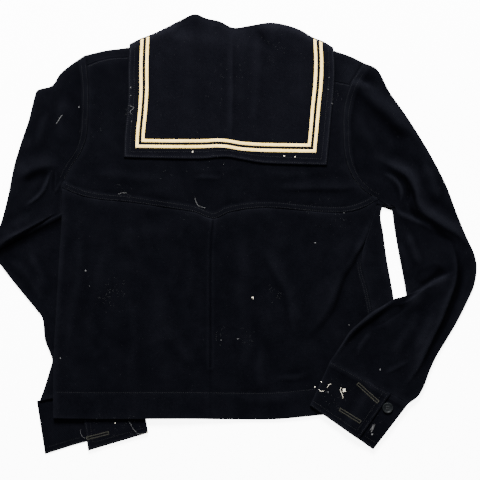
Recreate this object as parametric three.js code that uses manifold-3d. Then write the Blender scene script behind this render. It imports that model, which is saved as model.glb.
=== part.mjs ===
// Sailor jumper in navy wool, laid flat with its back up: front, lower back, yoke, square collar with two
// tapes, two sleeves folded at the elbow, two cuffs and one button. Millimetres, +Z up, the floor at z = 0.
// Every panel is a wall of cloth. Its plan is a patch between four edge curves, and its height comes from
// the layers below it and from a table of folds.
import * as THREE from "three";
import Module from "manifold-3d";
import { mergeVertices } from "three/addons/utils/BufferGeometryUtils.js";

const wasm = await Module();
wasm.setup();

// Driving dimensions
const CLOTH = 1.5; // wool thickness
const SEAM = 0.3; // gap between two pieces at a seam
const ARMHOLE_SEAM = 0.6; // at the armholes, where the chords of two curves face each other
const LAYER = 2; // from one layer's underside to the next one's
const TWO_LAYERS = 2 * LAYER;
const FOLD_RADIUS = (LAYER + CLOTH) / 2; // a fold round two layers
const COLLAR_SIZE = { width: 285, depth: 175 };
const TAPE = { thickness: 1, width: 5, gap: 3, topGap: 3 };
const TAPE_BORDER = { left: 15.2, right: 16.8, bottomLeft: 13.3, bottomRight: 17.1 };
const TAPE_STEPS = { side: 9, bottom: 18 };
const BUTTON = { x: 213.5, y: -242, diameter: 15, thickness: 3, rim: 1.6, dish: 0.8, edge: 0.7, sides: 24 };
const BUTTON_HOLES = { count: 4, circle: 4.2, diameter: 1.8, sides: 8 };
const CUFF_LAP = { buttonEnd: 0.62, topEnd: 0.765 }; // shares of the right cuff's width
const LEFT_CUFF_TOP_END = 0.41; // share of the left cuff's width

const COLOURS = {
  wool: { color: 0x0c0d12, roughness: 0.95, metalness: 0 },
  collarWool: { color: 0x111217, roughness: 0.95, metalness: 0 },
  tape: { color: 0xefd7ab, roughness: 0.85, metalness: 0 },
  button: { color: 0x2b3238, roughness: 0.4, metalness: 0 },
};

// Curves in plan
// A smooth curve through [x, y] points, as a function of the share of its length.
function curve(points) {
  const path = new THREE.CatmullRomCurve3(
    points.map(([x, y]) => new THREE.Vector3(x, y, 0)),
    false,
    "centripetal",
  );
  return (share) => {
    const at = path.getPointAt(Math.min(1, Math.max(0, share)));
    return new THREE.Vector2(at.x, at.y);
  };
}

const between = (path, from, to) => (share) => path(from + (to - from) * share);
const backwards = (path) => between(path, 1, 0);
const line = (a, b) => (share) => a.clone().lerp(b, share);

function joined(first, second) {
  return (share) => (share <= 0.5 ? first(2 * share) : second(2 * share - 1));
}

// Armholes from armpit to shoulder. A side seam ends at ARMPIT_ROLL and a shoulder seam at SHOULDER_SEAM,
// as shares of the armhole, because the garment lies a little turned and rolls over its own edges there.
const ARMHOLE = {
  left: curve([[-243, 66], [-231, 92], [-217, 113], [-209, 135], [-206, 174], [-206, 209], [-210, 251]]),
  right: curve([
    [203, 41], [184, 58], [167, 79], [156, 107], [153, 139], [154, 177], [164, 211], [182, 240],
  ]),
};
const ARMPIT_ROLL = 0.05;
const SHOULDER_SEAM = { left: 0.92, right: 0.84 };

const EDGES = {
  leftSideSeam: curve([
    [-222, -257], [-219, -150], [-221, -60], [-226, 20], ARMHOLE.left(ARMPIT_ROLL).toArray(),
  ]),
  rightSideSeam: curve([
    [198, -246], [199, -190], [196, -134], [187, -82], [177, -38], [189, 9],
    ARMHOLE.right(ARMPIT_ROLL).toArray(),
  ]),
  bodyLeft: curve([
    [-254, -257], [-254, -218], [-253, -162], [-249, -92], [-246, -36], [-242, 27], [-243, 66],
  ]),
  bodyRight: curve([[224, -244], [227, -190], [227, -134], [223, -90], [213, -33], [208, 4], [203, 41]]),
  yokeSeam: curve([
    [-243, 66], [-217, 55], [-189, 49], [-154, 46], [-119, 41], [-84, 36], [-56, 31], [-30, 22],
    [-7, 31], [21, 36], [56, 37], [91, 34], [126, 31], [161, 32], [183, 39],
    ARMHOLE.right(ARMPIT_ROLL).toArray(),
  ]),
  backHem: curve([[-254, -257], [-196, -258], [-60, -258], [-9, -259], [56, -259], [122, -253], [198, -246]]),
  frontHem: curve([
    [-222, -257], [-196, -258], [-60, -258], [-9, -259], [56, -259], [122, -253], [224, -244],
  ]),
  yokeTop: curve([
    ARMHOLE.left(SHOULDER_SEAM.left).toArray(),
    [-189, 243], [-169, 247], [-149, 248], [-119, 255], [-91, 264], [-60, 261], [-30, 258], [-4, 255],
    [24, 251], [52, 244], [82, 234], [103, 225], [122, 216], [143, 213],
    ARMHOLE.right(SHOULDER_SEAM.right).toArray(),
  ]),
  leftShoulder: curve([[-210, 251], [-179, 258], [-149, 262], [-119, 271], [-100, 277]]),
  rightShoulder: curve([[68, 283], [98, 275], [117, 267], [138, 258], [161, 250], [182, 240]]),
  collarTop: curve([
    [-147, 267], [-133, 274], [-120, 279], [-98, 289], [-77, 300], [-56, 309], [-39, 303], [-21, 299],
    [-2, 290], [21, 293], [49, 297], [70, 294], [91, 287], [110, 276], [125, 270], [138, 262],
  ]),
  collarBottom: curve([
    [-155, 108], [-126, 107], [-84, 106], [-42, 106], [-23, 108], [-8, 108], [14, 104], [38, 100], [84, 98],
    [129, 97],
  ]),
  collarLeft: curve([[-155, 108], [-154, 139], [-151, 167], [-149, 195], [-149, 230], [-147, 267]]),
  collarRight: curve([[129, 97], [133, 139], [136, 174], [139, 202], [140, 230], [138, 262]]),
  leftSleeveInner: curve([[-243.3, 65.7], [-243.2, 46], [-243, 29]]),
  leftSleeveOuter: curve([
    [-210.2, 251], [-231, 237], [-245, 225], [-256, 209], [-277, 202], [-281, 192], [-289, 160], [-299, 130],
    [-309, 96], [-317, 55], [-326, 20], [-336, -8], [-339.5, -22],
  ]),
  leftForearmInner: curve([[-243, 29], [-240, 18], [-222, -30], [-185, -100], [-155, -160], [-134, -206]]),
  leftForearmOuter: curve([
    [-339.5, -22], [-336, -33], [-326, -46], [-309, -68], [-291, -90], [-277, -107], [-270, -117],
    [-266, -148], [-259, -166], [-256, -176], [-260, -192], [-267, -215], [-274, -234],
  ]),
  rightSleeveInner: curve([[203.3, 41], [213, 44], [219, 38], [224, 6], [230, -29], [236, -61], [240, -86]]),
  rightSleeveOuter: curve([
    [182.2, 240], [199, 232], [217, 200], [238, 170], [259, 138], [279, 104], [297, 68], [311, 31], [324, -1],
    [336, -27], [339.5, -42],
  ]),
  rightForearmInner: curve([
    [240, -86], [231, -88], [223, -90], [206, -100], [189, -110], [175, -122], [161, -135], [150, -152],
    [140, -167], [133, -177],
  ]),
  rightForearmOuter: curve([
    [339.5, -42], [339, -55], [335, -74], [328, -90], [311, -124], [296, -149], [283, -170], [273, -191],
    [265, -212], [257, -226], [243, -237],
  ]),
};

const CUFFS = {
  left: {
    seam: [new THREE.Vector2(-274, -234), new THREE.Vector2(-134, -206)],
    wrist: [new THREE.Vector2(-266, -308), new THREE.Vector2(-205, -290), new THREE.Vector2(-121, -278)],
    topWrist: [new THREE.Vector2(-264, -320.5), new THREE.Vector2(-121, -278)], // of the lapped end
  },
  right: {
    seam: [new THREE.Vector2(133, -177), new THREE.Vector2(243, -237)],
    wrist: [new THREE.Vector2(105, -239), new THREE.Vector2(194, -301)],
  },
};

const V_POINT = new THREE.Vector2(-15, 60);
const LAPELS = {
  left: { outer: [[-147, 267], [-118, 165], [-38, 72]], end: [[-38, 72], [-20, 64]], throat: [-78, 240] },
  right: { outer: [[138, 262], [104, 160], [8, 72]], end: [[-10, 64], [8, 72]], throat: [50, 235] },
};

const NEARLY_ZERO = 1e-9;
const KEYS_PER_MM = 1e4; // wall points nearer than this are one point
const SHOULDER_ROLL_STOP = 0.92; // share of the right armhole where the front's roll bends
const FIRST_YOKE_STOP = 0.14; // share of the left armhole at the yoke's second row

// Counts of rows and columns; pieces that meet at a seam have the same steps along it
const YOKE_ROWS = 11;
const YOKE_COLUMNS = 22;
const SHOULDER_COLUMNS = 6;
const BODY_ROWS = 14;
const COLLAR_ROWS = 9;
const LAPEL_ROWS = 8;
const UPPER_ARM_RINGS = 12;
const FOREARM_RINGS = 12;
const SLEEVE_COLUMNS = 15;
const CUFF_ROWS = 5;
const CUFF_HEIGHT = 73;
const EDGE_STEPS = 60;
const COLUMN_ROOM = 0.6; // least distance between two columns that are moved back inside an edge, in mm
const ELBOW_STEP = 0.03; // share of the forearm over which the upper arm's edge drops to it
const NECK_TURN = [0.6, 0.25]; // how much of the neck's outline each row of the turned part keeps
const COLLAR_COLUMNS = 20;
const LAPEL_COLUMNS = 5;
const LAPEL_SHARE = LAPEL_COLUMNS / COLLAR_COLUMNS;

// Shares of a range in equal steps, both ends included
function steps(count, from = 0, to = 1) {
  return Array.from({ length: count + 1 }, (_, index) => from + ((to - from) * index) / count);
}

// Shares of each armhole from armpit to shoulder. On the left the first share is the back's roll and the
// last one the front's; on the right the front rolls over both ends.
const ARMHOLE_STOPS = {
  left: [0, ARMPIT_ROLL, ...steps(YOKE_ROWS - 2, FIRST_YOKE_STOP, SHOULDER_SEAM.left), 1],
  right: [0, ...steps(YOKE_ROWS, ARMPIT_ROLL, SHOULDER_SEAM.right), SHOULDER_ROLL_STOP, 1],
};

// A path whose equal steps fall on the given shares
function paced(path, stops) {
  return (share) => {
    const place = share * (stops.length - 1);
    const index = Math.min(Math.floor(place + NEARLY_ZERO), stops.length - 2);
    return path(stops[index] + (stops[index + 1] - stops[index]) * (place - index));
  };
}

// Plan patches
// A point between four edges: bottom and top run left to right, left and right run upwards.
function patch({ bottom, top, left, right }) {
  const corner = { a: bottom(0), b: bottom(1), c: top(0), d: top(1) };
  return (u, v) => {
    const across = left(v).multiplyScalar(1 - u).add(right(v).multiplyScalar(u));
    const along = bottom(u).multiplyScalar(1 - v).add(top(u).multiplyScalar(v));
    const low = corner.a.clone().lerp(corner.b, u);
    const high = corner.c.clone().lerp(corner.d, u);
    return across.add(along).sub(low.lerp(high, v));
  };
}

const planGrid = (at, us, vs) => vs.map((v) => us.map((u) => at(u, v)));

// Moves an edge of a plan grid towards the inside.
function pull(grid, side, distance) {
  const last = grid.length - 1;
  const moved = (edge, next) => edge.add(next.clone().sub(edge).setLength(distance));
  if (side === "left") grid.forEach((row) => moved(row[0], row[1]));
  if (side === "right") grid.forEach((row) => moved(row[row.length - 1], row[row.length - 2]));
  if (side === "bottom") grid[0].forEach((point, index) => moved(point, grid[1][index]));
  if (side === "top") grid[last].forEach((point, index) => moved(point, grid[last - 1][index]));
}

// Heights
const smooth = (value, from, to) => THREE.MathUtils.smoothstep(value, from, to);

function segmentDistance(point, a, b) {
  const span = b.clone().sub(a);
  const length = Math.max(span.lengthSq(), NEARLY_ZERO);
  const share = THREE.MathUtils.clamp(point.clone().sub(a).dot(span) / length, 0, 1);
  const offset = point.clone().sub(a.clone().addScaledVector(span, share));
  return { distance: offset.length(), share, side: Math.sign(span.cross(offset)) };
}

function outsideDistance(polygon, point) {
  let inside = false;
  let nearest = Infinity;
  polygon.forEach((a, index) => {
    const b = polygon[(index + 1) % polygon.length];
    nearest = Math.min(nearest, segmentDistance(point, a, b).distance);
    const crosses = a.y > point.y !== b.y > point.y;
    if (crosses && point.x < ((b.x - a.x) * (point.y - a.y)) / (b.y - a.y) + a.x) inside = !inside;
  });
  return inside ? 0 : nearest;
}

const trace = (path, count) => steps(count).map((share) => path(share));

const OUTLINES = {
  leftForearm: [
    ...trace(EDGES.leftForearmInner, 8),
    ...CUFFS.left.wrist.slice().reverse(),
    ...trace(backwards(EDGES.leftForearmOuter), 16),
  ],
  rightForearm: [
    ...trace(EDGES.rightForearmInner, 12),
    ...CUFFS.right.wrist,
    ...trace(backwards(EDGES.rightForearmOuter), 12),
  ],
  body: [
    ...trace(EDGES.backHem, 12),
    ...trace(EDGES.bodyRight, 10),
    ...trace(between(ARMHOLE.right, ARMPIT_ROLL, 1), 10),
    ...trace(backwards(EDGES.rightShoulder), 4),
    ...trace(backwards(EDGES.leftShoulder), 4),
    ...trace(backwards(ARMHOLE.left), 10),
    ...trace(backwards(EDGES.bodyLeft), 10),
  ],
  lapels: [
    ...trace(EDGES.collarTop, 16),
    ...trace(curve(LAPELS.right.outer), 6),
    ...trace(backwards(curve(LAPELS.left.outer)), 6),
  ],
  neck: [
    ...trace(EDGES.leftShoulder, 6),
    ...trace(between(EDGES.yokeTop, 0.27, 0.73), 8),
    ...trace(EDGES.rightShoulder, 6),
    new THREE.Vector2(200, 60),
    new THREE.Vector2(-240, 60),
  ],
};

// How much of a layer's height is left at a point beside what lies below
function over(name, point) {
  return 1 - smooth(outsideDistance(OUTLINES[name], point), BRIDGES[name].flat, BRIDGES[name].end);
}

// How far beside an edge the upper layer keeps its height, and where it has sunk to the lower one
const BRIDGES = {
  leftForearm: { flat: 30, end: 150 },
  lapels: { flat: 22, end: 110 },
  body: { flat: 22, end: 85 },
  neck: { flat: 10, end: 45 },
};

// The underside of the lowest layer that rests on the forearm or on the collar's front ends
function restLevel(point) {
  return TWO_LAYERS * over("leftForearm", point) + LAYER * over("lapels", point);
}

// The underside of what lies on the back, low again beside the body
const onBody = (point) => TWO_LAYERS * over("body", point);

// Folds: a ridge along a path falls to nothing over its left and right widths, in mm; a trough has a
// negative height.
const BODY_FOLDS = [
  { height: 6, left: 14, right: 32,
    path: [[189, 17], [168, -22], [147, -54], [131, -96], [112, -127], [92, -150]] },
  { height: -1.5, left: 9, right: 9, path: [[-32, 18], [-34, -60], [-34, -120], [-34, -200]] },
  { height: 3.2, left: 24, right: 12, path: [[30, -10], [46, -30], [73, -76], [83, -127], [92, -150]] },
  { height: 3, left: 16, right: 12, path: [[150, -158], [117, -187], [68, -201], [44, -200]] },
  { height: 2.4, left: 12, right: 10, path: [[92, 32], [110, 8], [130, -22]] },
  { height: 2.4, left: 12, right: 10, path: [[132, 30], [156, 6], [168, -20]] },
  { height: 2.4, left: 18, right: 20,
    path: [[-216, 30], [-218, -20], [-222, -70], [-232, -130], [-236, -180]] },
  { height: 2.2, left: 22, right: 14, path: [[-176, 24], [-180, -20], [-192, -70], [-206, -170]] },
  { height: 2, left: 22, right: 26, path: [[-190, -24], [-150, -6], [-70, 12], [-40, 13]] },
  { height: 1.8, left: 16, right: 14, path: [[-98, -120], [-66, -172], [-50, -190]] },
  { height: 1.6, left: 18, right: 18, path: [[8, 16], [10, -90], [10, -200]] },
];
const YOKE_FOLDS = [
  { height: 2.6, left: 18, right: 12, path: [[54, 66], [110, 67], [184, 72]] },
  { height: 1.6, left: 12, right: 12, path: [[-60, 80], [-30, 79], [-12, 80]] },
  { height: 1.8, left: 16, right: 14, path: [[-200, 86], [-164, 84], [-96, 78]] },
];
const SLEEVE_RIGHT_FOLDS = [
  { height: 4.2, left: 24, right: 14, path: [[158, 211], [190, 197], [218, 174], [248, 146], [262, 130]] },
  { height: 5.4, left: 26, right: 9,
    path: [[186, 108], [216, 98], [246, 78], [258, 44], [278, 22], [315, -1], [338, -27]] },
  { height: 3, left: 12, right: 10, path: [[220, 42], [246, 22], [278, 6], [292, -2]] },
  { height: 6, left: 9, right: 36,
    path: [[296, -2], [309, -36], [305, -74], [285, -125], [259, -179], [228, -215]] },
  { height: 5, left: 24, right: 9, path: [[309, -50], [281, -66], [253, -86], [224, -100]] },
  { height: 5.2, left: 9, right: 10, path: [[229, -91], [196, -109], [166, -132], [145, -160], [136, -174]] },
  { height: 2.4, left: 8, right: 12, path: [[170, -172], [182, -146], [192, -132]] },
];
const SLEEVE_LEFT_FOLDS = [
  { height: 3.4, left: 9, right: 14, path: [[-256, 92], [-264, 68], [-281, 47], [-296, 38]] },
  { height: 3.8, left: 24, right: 10, path: [[-306, 70], [-284, 92], [-256, 98], [-242, 96]] },
  { height: 2.2, left: 20, right: 16, path: [[-236, 206], [-246, 140], [-250, 112]] },
  { height: 2.4, left: 20, right: 22, path: [[-282, 160], [-304, 80], [-312, 40]] },
  { height: 4.6, left: 26, right: 9, path: [[-338, -26], [-300, 0], [-272, 17], [-244, 31]] },
  { height: 2.2, left: 14, right: 12, path: [[-322, -32], [-280, -70], [-268, -96]] },
];
const COLLAR_FOLDS = [
  { height: 1.5, left: 8, right: 10, path: [[-5, 290], [-4, 200], [-3, 112]] },
  { height: 1.2, left: 14, right: 14, path: [[36, 292], [28, 200], [24, 140]] },
  { height: 1, left: 18, right: 18, path: [[-70, 296], [-66, 220], [-60, 140]] },
];
const FOLD_FADE = 0.3; // share of a fold's length over which it rises at its start and falls at its end
const FOLD_STEPS = 12;

function prepared(folds) {
  return folds.map((fold) => ({ ...fold, points: trace(curve(fold.path), FOLD_STEPS) }));
}

function foldHeight(fold, point) {
  let nearest = { distance: Infinity };
  const last = fold.points.length - 1;
  for (let index = 0; index < last; index += 1) {
    const found = segmentDistance(point, fold.points[index], fold.points[index + 1]);
    if (found.distance < nearest.distance) nearest = { ...found, along: (index + found.share) / last };
  }
  const width = nearest.side > 0 ? fold.left : fold.right;
  const ends = smooth(nearest.along, 0, FOLD_FADE) * (1 - smooth(nearest.along, 1 - FOLD_FADE, 1));
  return fold.height * ends * (1 - smooth(nearest.distance, 0, width));
}

const RELIEFS = {
  body: prepared([...BODY_FOLDS, ...YOKE_FOLDS]),
  rightSleeve: prepared(SLEEVE_RIGHT_FOLDS),
  leftSleeve: prepared(SLEEVE_LEFT_FOLDS),
  collar: prepared(COLLAR_FOLDS),
};

// Ridges stand up from the layers; a trough only lowers a ridge beside it.
function relief(folds, point) {
  const height = folds.reduce((sum, fold) => sum + foldHeight(fold, point), 0);
  return Math.max(0, height);
}

// The back's ridges die away before the right forearm and the collar, which lie flat on it.
const RIDGE_CLEARANCE = { forearmFrom: 16, forearmTo: 50, collarFrom: 70, collarTo: 100 };
function backRelief(point) {
  const { forearmFrom, forearmTo, collarFrom, collarTo } = RIDGE_CLEARANCE;
  const besideForearm = smooth(outsideDistance(OUTLINES.rightForearm, point), forearmFrom, forearmTo);
  const belowCollar = 1 - smooth(point.y, collarFrom, collarTo);
  return relief(RELIEFS.body, point) * besideForearm * belowCollar;
}

const backLevel = (point) => restLevel(point) + LAYER + backRelief(point);

// Cloth walls
// One point of a wall on a flat layer. Its outer skin is on top, or below where the wall faces down.
function layerPoint(point, level, facesUp) {
  const low = new THREE.Vector3(point.x, point.y, level);
  const high = new THREE.Vector3(point.x, point.y, level + CLOTH);
  return facesUp ? { outer: high, inner: low } : { outer: low, inner: high };
}

// The point of a wall at the crest of a fold that joins a lower and an upper layer
function crestPoint(point, outward, lowLevel, highLevel) {
  const middle = (lowLevel + highLevel + CLOTH) / 2;
  const back = point.clone().addScaledVector(outward, -CLOTH);
  return {
    outer: new THREE.Vector3(point.x, point.y, middle),
    inner: new THREE.Vector3(back.x, back.y, middle),
  };
}

const inset = (edge, next, distance) => edge.clone().add(next.clone().sub(edge).setLength(distance));
const outwardOf = (edge, next) => edge.clone().sub(next).normalize();

// A closed wall from grids of wall points; grids that share points are joined there.
function clothGeometry(grids) {
  const ids = new Map();
  const outer = [];
  const inner = [];
  const idOf = (point) => {
    const place = [...point.outer.toArray(), ...point.inner.toArray()];
    const key = place.map((value) => Math.round(value * KEYS_PER_MM)).join();
    if (!ids.has(key)) {
      ids.set(key, outer.length);
      outer.push(point.outer);
      inner.push(point.inner);
    }
    return ids.get(key);
  };
  const cells = [];
  for (const grid of grids) {
    const numbered = grid.map((row) => row.map(idOf));
    for (let row = 0; row + 1 < numbered.length; row += 1) {
      for (let column = 0; column + 1 < numbered[row].length; column += 1) {
        const [low, high] = [numbered[row], numbered[row + 1]];
        cells.push([low[column], low[column + 1], high[column + 1], high[column]]);
      }
    }
  }
  const count = outer.length;
  const triangles = [];
  const edges = new Map();
  for (const [a, b, c, d] of cells) {
    triangles.push([a, b, c], [a, c, d]);
    triangles.push([a + count, c + count, b + count], [a + count, d + count, c + count]);
    for (const [from, to] of [[a, b], [b, c], [c, d], [d, a]]) {
      if (from === to) continue;
      if (edges.has(`${to}_${from}`)) edges.delete(`${to}_${from}`);
      else edges.set(`${from}_${to}`, [from, to]);
    }
  }
  for (const [from, to] of edges.values()) {
    triangles.push([to, from, from + count], [to, from + count, to + count]);
  }
  return solidGeometry([...outer, ...inner], triangles);
}

// A geometry with its faces turned outwards
function solidGeometry(points, triangles) {
  const volume = triangles.reduce((sum, [a, b, c]) => {
    return sum + points[a].dot(new THREE.Vector3().crossVectors(points[b], points[c]));
  }, 0);
  const whole = triangles.filter(([a, b, c]) => a !== b && b !== c && c !== a);
  const turned = volume < 0 ? whole.map(([a, b, c]) => [a, c, b]) : whole;
  const geometry = new THREE.BufferGeometry();
  const values = points.flatMap((point) => point.toArray());
  geometry.setAttribute("position", new THREE.Float32BufferAttribute(values, 3));
  geometry.setIndex(turned.flat());
  geometry.computeVertexNormals();
  return geometry;
}

const group = new THREE.Group();

function addMesh(name, geometry, look) {
  const mesh = new THREE.Mesh(geometry, new THREE.MeshStandardMaterial(look));
  mesh.name = name;
  group.add(mesh);
  return mesh;
}

function onPlan(grid, level, facesUp) {
  return grid.map((row) => row.map((point) => layerPoint(point, level(point), facesUp)));
}

// Rows of a flat grid carried round a fold on their right-hand side and on into a strip on the other layer
function rolledRight(grid, strip, level, stripLevel, facesUp) {
  return grid.map((row, index) => {
    const edge = row[row.length - 1];
    const previous = row[row.length - 2];
    const back = strip[index];
    const near = inset(edge, previous, FOLD_RADIUS);
    const far = inset(edge, back[0], FOLD_RADIUS);
    const [low, high] = [level(near), stripLevel(far)].sort((a, b) => a - b);
    return [
      ...row.slice(0, -1).map((point) => layerPoint(point, level(point), facesUp)),
      layerPoint(near, level(near), facesUp),
      crestPoint(edge, outwardOf(edge, previous), low, high),
      layerPoint(far, stripLevel(far), !facesUp),
      ...back.map((point) => layerPoint(point, stripLevel(point), !facesUp)),
    ];
  });
}

const mirrored = (grid) => grid.map((row) => row.slice().reverse());
const turned = (grid) => grid[0].map((_, column) => grid.map((row) => row[column]));

// From a fold's edge to a seam on the other layer, in two steps that stop short of the seam
function stripTo(seamPoint, edge) {
  const end = inset(seamPoint, edge, SEAM / 2);
  return [0.5, 1].map((share) => edge.clone().lerp(end, share));
}

// Front: the lower block, rolled over the right side
function lowerFront(chest) {
  const { frontHem, leftSideSeam, bodyRight, rightSideSeam } = EDGES;
  const at = patch({ bottom: frontHem, top: chest, left: leftSideSeam, right: bodyRight });
  const grid = planGrid(at, steps(2 * SHOULDER_COLUMNS), steps(BODY_ROWS));
  pull(grid.slice(0, -1), "left", SEAM / 2);
  const strip = grid.map((row, index) => stripTo(rightSideSeam(index / BODY_ROWS), row[row.length - 1]));
  return rolledRight(grid, strip, restLevel, backLevel, false);
}

// The whole front, with a block on each side of the V
function frontGeometry() {
  const leftStops = ARMHOLE_STOPS.left.slice(1);
  const leftArmhole = paced(ARMHOLE.left, leftStops);
  const rightArmhole = paced(ARMHOLE.right, ARMHOLE_STOPS.right);
  const chestLeft = line(leftArmhole(0), V_POINT);
  const chestRight = line(V_POINT, rightArmhole(0));
  const leftPatch = patch({
    bottom: chestLeft,
    top: EDGES.leftShoulder,
    left: leftArmhole,
    right: line(V_POINT, EDGES.leftShoulder(1)),
  });
  const rightPatch = patch({
    bottom: chestRight,
    top: EDGES.rightShoulder,
    left: line(V_POINT, EDGES.rightShoulder(0)),
    right: rightArmhole,
  });
  const share = SHOULDER_COLUMNS / YOKE_COLUMNS;
  return clothGeometry([
    lowerFront(joined(chestLeft, chestRight)),
    shoulderGrid(leftPatch, leftStops.length - 1, "left", between(EDGES.yokeTop, 0, share)),
    shoulderGrid(rightPatch, ARMHOLE_STOPS.right.length - 1, "right", between(EDGES.yokeTop, 1 - share, 1)),
  ]);
}

function shoulderGrid(at, rows, armholeSide, seam) {
  const columns = steps(SHOULDER_COLUMNS);
  const grid = planGrid(at, columns, steps(rows));
  pull(grid.slice(1), armholeSide, SEAM / 2);
  const top = grid[grid.length - 1];
  const strip = columns.map((share, index) => stripTo(seam(share), top[index]));
  return turned(rolledRight(turned(grid), strip, restLevel, backLevel, false));
}

// Lower back, rolled under the left side to its seam with the front
function backLowerGeometry() {
  const { backHem, yokeSeam, bodyLeft, rightSideSeam } = EDGES;
  const at = patch({ bottom: backHem, top: yokeSeam, left: bodyLeft, right: rightSideSeam });
  const grid = planGrid(at, steps(YOKE_COLUMNS), steps(BODY_ROWS));
  pull(grid, "right", SEAM / 2);
  pull(grid, "top", SEAM / 2);
  const strip = grid.map((row, index) => stripTo(EDGES.leftSideSeam(index / BODY_ROWS), row[0]));
  return clothGeometry([rolledRight(mirrored(grid), strip, backLevel, restLevel, true)]);
}

function yokeGeometry() {
  const at = patch({
    bottom: EDGES.yokeSeam,
    top: EDGES.yokeTop,
    left: paced(ARMHOLE.left, ARMHOLE_STOPS.left.slice(0, -1)),
    right: paced(ARMHOLE.right, ARMHOLE_STOPS.right.slice(1, -2)),
  });
  const grid = planGrid(at, steps(YOKE_COLUMNS), steps(YOKE_ROWS));
  for (const side of ["left", "right", "bottom", "top"]) pull(grid, side, SEAM / 2);
  return clothGeometry([onPlan(grid, backLevel, true)]);
}

// Collar: the flap on the back, the turn over the neck, and two front ends that taper to the V
const collarPatch = patch({
  bottom: EDGES.collarBottom,
  top: EDGES.collarTop,
  left: EDGES.collarLeft,
  right: EDGES.collarRight,
});

// The flap lies on the yoke, and sinks to its own turned part above the neck.
function collarLevel(point) {
  return LAYER + (restLevel(point) + LAYER) * over("neck", point) + relief(RELIEFS.collar, point);
}

const onFloor = () => 0;

// One of the collar's front ends, from the turn over the neck down to the V
function lapelGrid(side, from, to) {
  const { outer, end, throat } = LAPELS[side];
  const [a, b] = end.map(([x, y]) => new THREE.Vector2(x, y));
  const neckPoint = EDGES.collarTop(side === "left" ? to : from);
  const inner = curve([neckPoint.toArray(), throat, (side === "left" ? b : a).toArray()]);
  const edges = [backwards(curve(outer)), backwards(inner)];
  const [left, right] = side === "left" ? edges : edges.reverse();
  const at = patch({ bottom: line(a, b), top: between(EDGES.collarTop, from, to), left, right });
  return planGrid(at, steps(LAPEL_COLUMNS), steps(LAPEL_ROWS, 1, 0));
}

// The turned part between the front ends, down to the back of the neck
function neckTurnGrid(left, right) {
  const across = steps(COLLAR_COLUMNS - 2 * LAPEL_COLUMNS);
  const arc = between(EDGES.collarTop, LAPEL_SHARE, 1 - LAPEL_SHARE);
  return NECK_TURN.map((arch, index) => {
    const ends = [left[index + 1][LAPEL_COLUMNS], right[index + 1][0]];
    return across.map((share) => {
      const bulge = arc(share).sub(arc(0).lerp(arc(1), share));
      return ends[0].clone().lerp(ends[1], share).addScaledVector(bulge, arch);
    });
  });
}

function collarGeometry() {
  const flap = planGrid(collarPatch, steps(COLLAR_COLUMNS), steps(COLLAR_ROWS));
  const top = flap[COLLAR_ROWS];
  const below = flap[COLLAR_ROWS - 1];
  const radius = top.map((point) => (collarLevel(point) + CLOTH) / 2);
  const near = top.map((point, index) => inset(point, below[index], radius[index]));
  const turnedUnder = near.map((point) => layerPoint(point, 0, false));
  const whole = [
    ...onPlan(flap.slice(0, -1), collarLevel, true),
    near.map((point) => layerPoint(point, collarLevel(point), true)),
    top.map((point, index) => {
      return crestPoint(point, outwardOf(point, below[index]), 0, collarLevel(near[index]));
    }),
    turnedUnder,
  ];
  const left = lapelGrid("left", 0, LAPEL_SHARE);
  const right = lapelGrid("right", 1 - LAPEL_SHARE, 1);
  const middle = neckTurnGrid(left, right);
  const last = COLLAR_COLUMNS - LAPEL_COLUMNS;
  return clothGeometry([
    whole,
    [turnedUnder.slice(0, LAPEL_COLUMNS + 1), ...onPlan(left.slice(1), onFloor, false)],
    [turnedUnder.slice(LAPEL_COLUMNS, last + 1), ...onPlan(middle, onFloor, false)],
    [turnedUnder.slice(last), ...onPlan(right.slice(1), onFloor, false)],
  ]);
}

// A tape on the flap: a band that runs down one side, along the bottom and up the other side
function tapeGeometry(shift) {
  const rows = [0, TAPE.width].map((across) => {
    const first = (TAPE_BORDER.left + shift + across) / COLLAR_SIZE.width;
    const last = 1 - (TAPE_BORDER.right + shift + across) / COLLAR_SIZE.width;
    const bottomShare = (u) => {
      const border = THREE.MathUtils.lerp(TAPE_BORDER.bottomLeft, TAPE_BORDER.bottomRight, u);
      return (border + shift + across) / collarPatch(u, 1).distanceTo(collarPatch(u, 0));
    };
    const end = 1 - TAPE.topGap / COLLAR_SIZE.depth;
    const left = steps(TAPE_STEPS.side, end, bottomShare(first)).map((v) => collarPatch(first, v));
    const bottom = steps(TAPE_STEPS.bottom, first, last).map((u) => collarPatch(u, bottomShare(u)));
    const right = steps(TAPE_STEPS.side, bottomShare(last), end).map((v) => collarPatch(last, v));
    return [...left, ...bottom.slice(1, -1), ...right];
  });
  const wallPoint = (point) => {
    const level = collarLevel(point) + CLOTH + SEAM;
    return {
      outer: new THREE.Vector3(point.x, point.y, level + TAPE.thickness),
      inner: new THREE.Vector3(point.x, point.y, level),
    };
  };
  return clothGeometry([rows.map((row) => row.map(wallPoint))]);
}

// Below a sharp turn of its inner edge, at the armpit, a patch would leave points outside that edge. They
// move back inside it, in their order.
function keepInside(grid, edge, below) {
  const knots = trace(edge, EDGE_STEPS).filter((knot) => knot.y < below);
  const edgeAt = (y) => {
    const next = Math.max(1, knots.findIndex((knot) => knot.y <= y));
    const [high, low] = [knots[next - 1], knots[next]];
    return THREE.MathUtils.mapLinear(y, high.y, low.y, high.x, low.x);
  };
  grid.forEach((row) => {
    row.slice(1).forEach((point, index) => {
      const nearest = FOLD_RADIUS + COLUMN_ROOM * (index + 1);
      if (point.y < below) point.x = Math.max(point.x, edgeAt(point.y) + nearest);
    });
  });
}

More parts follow.
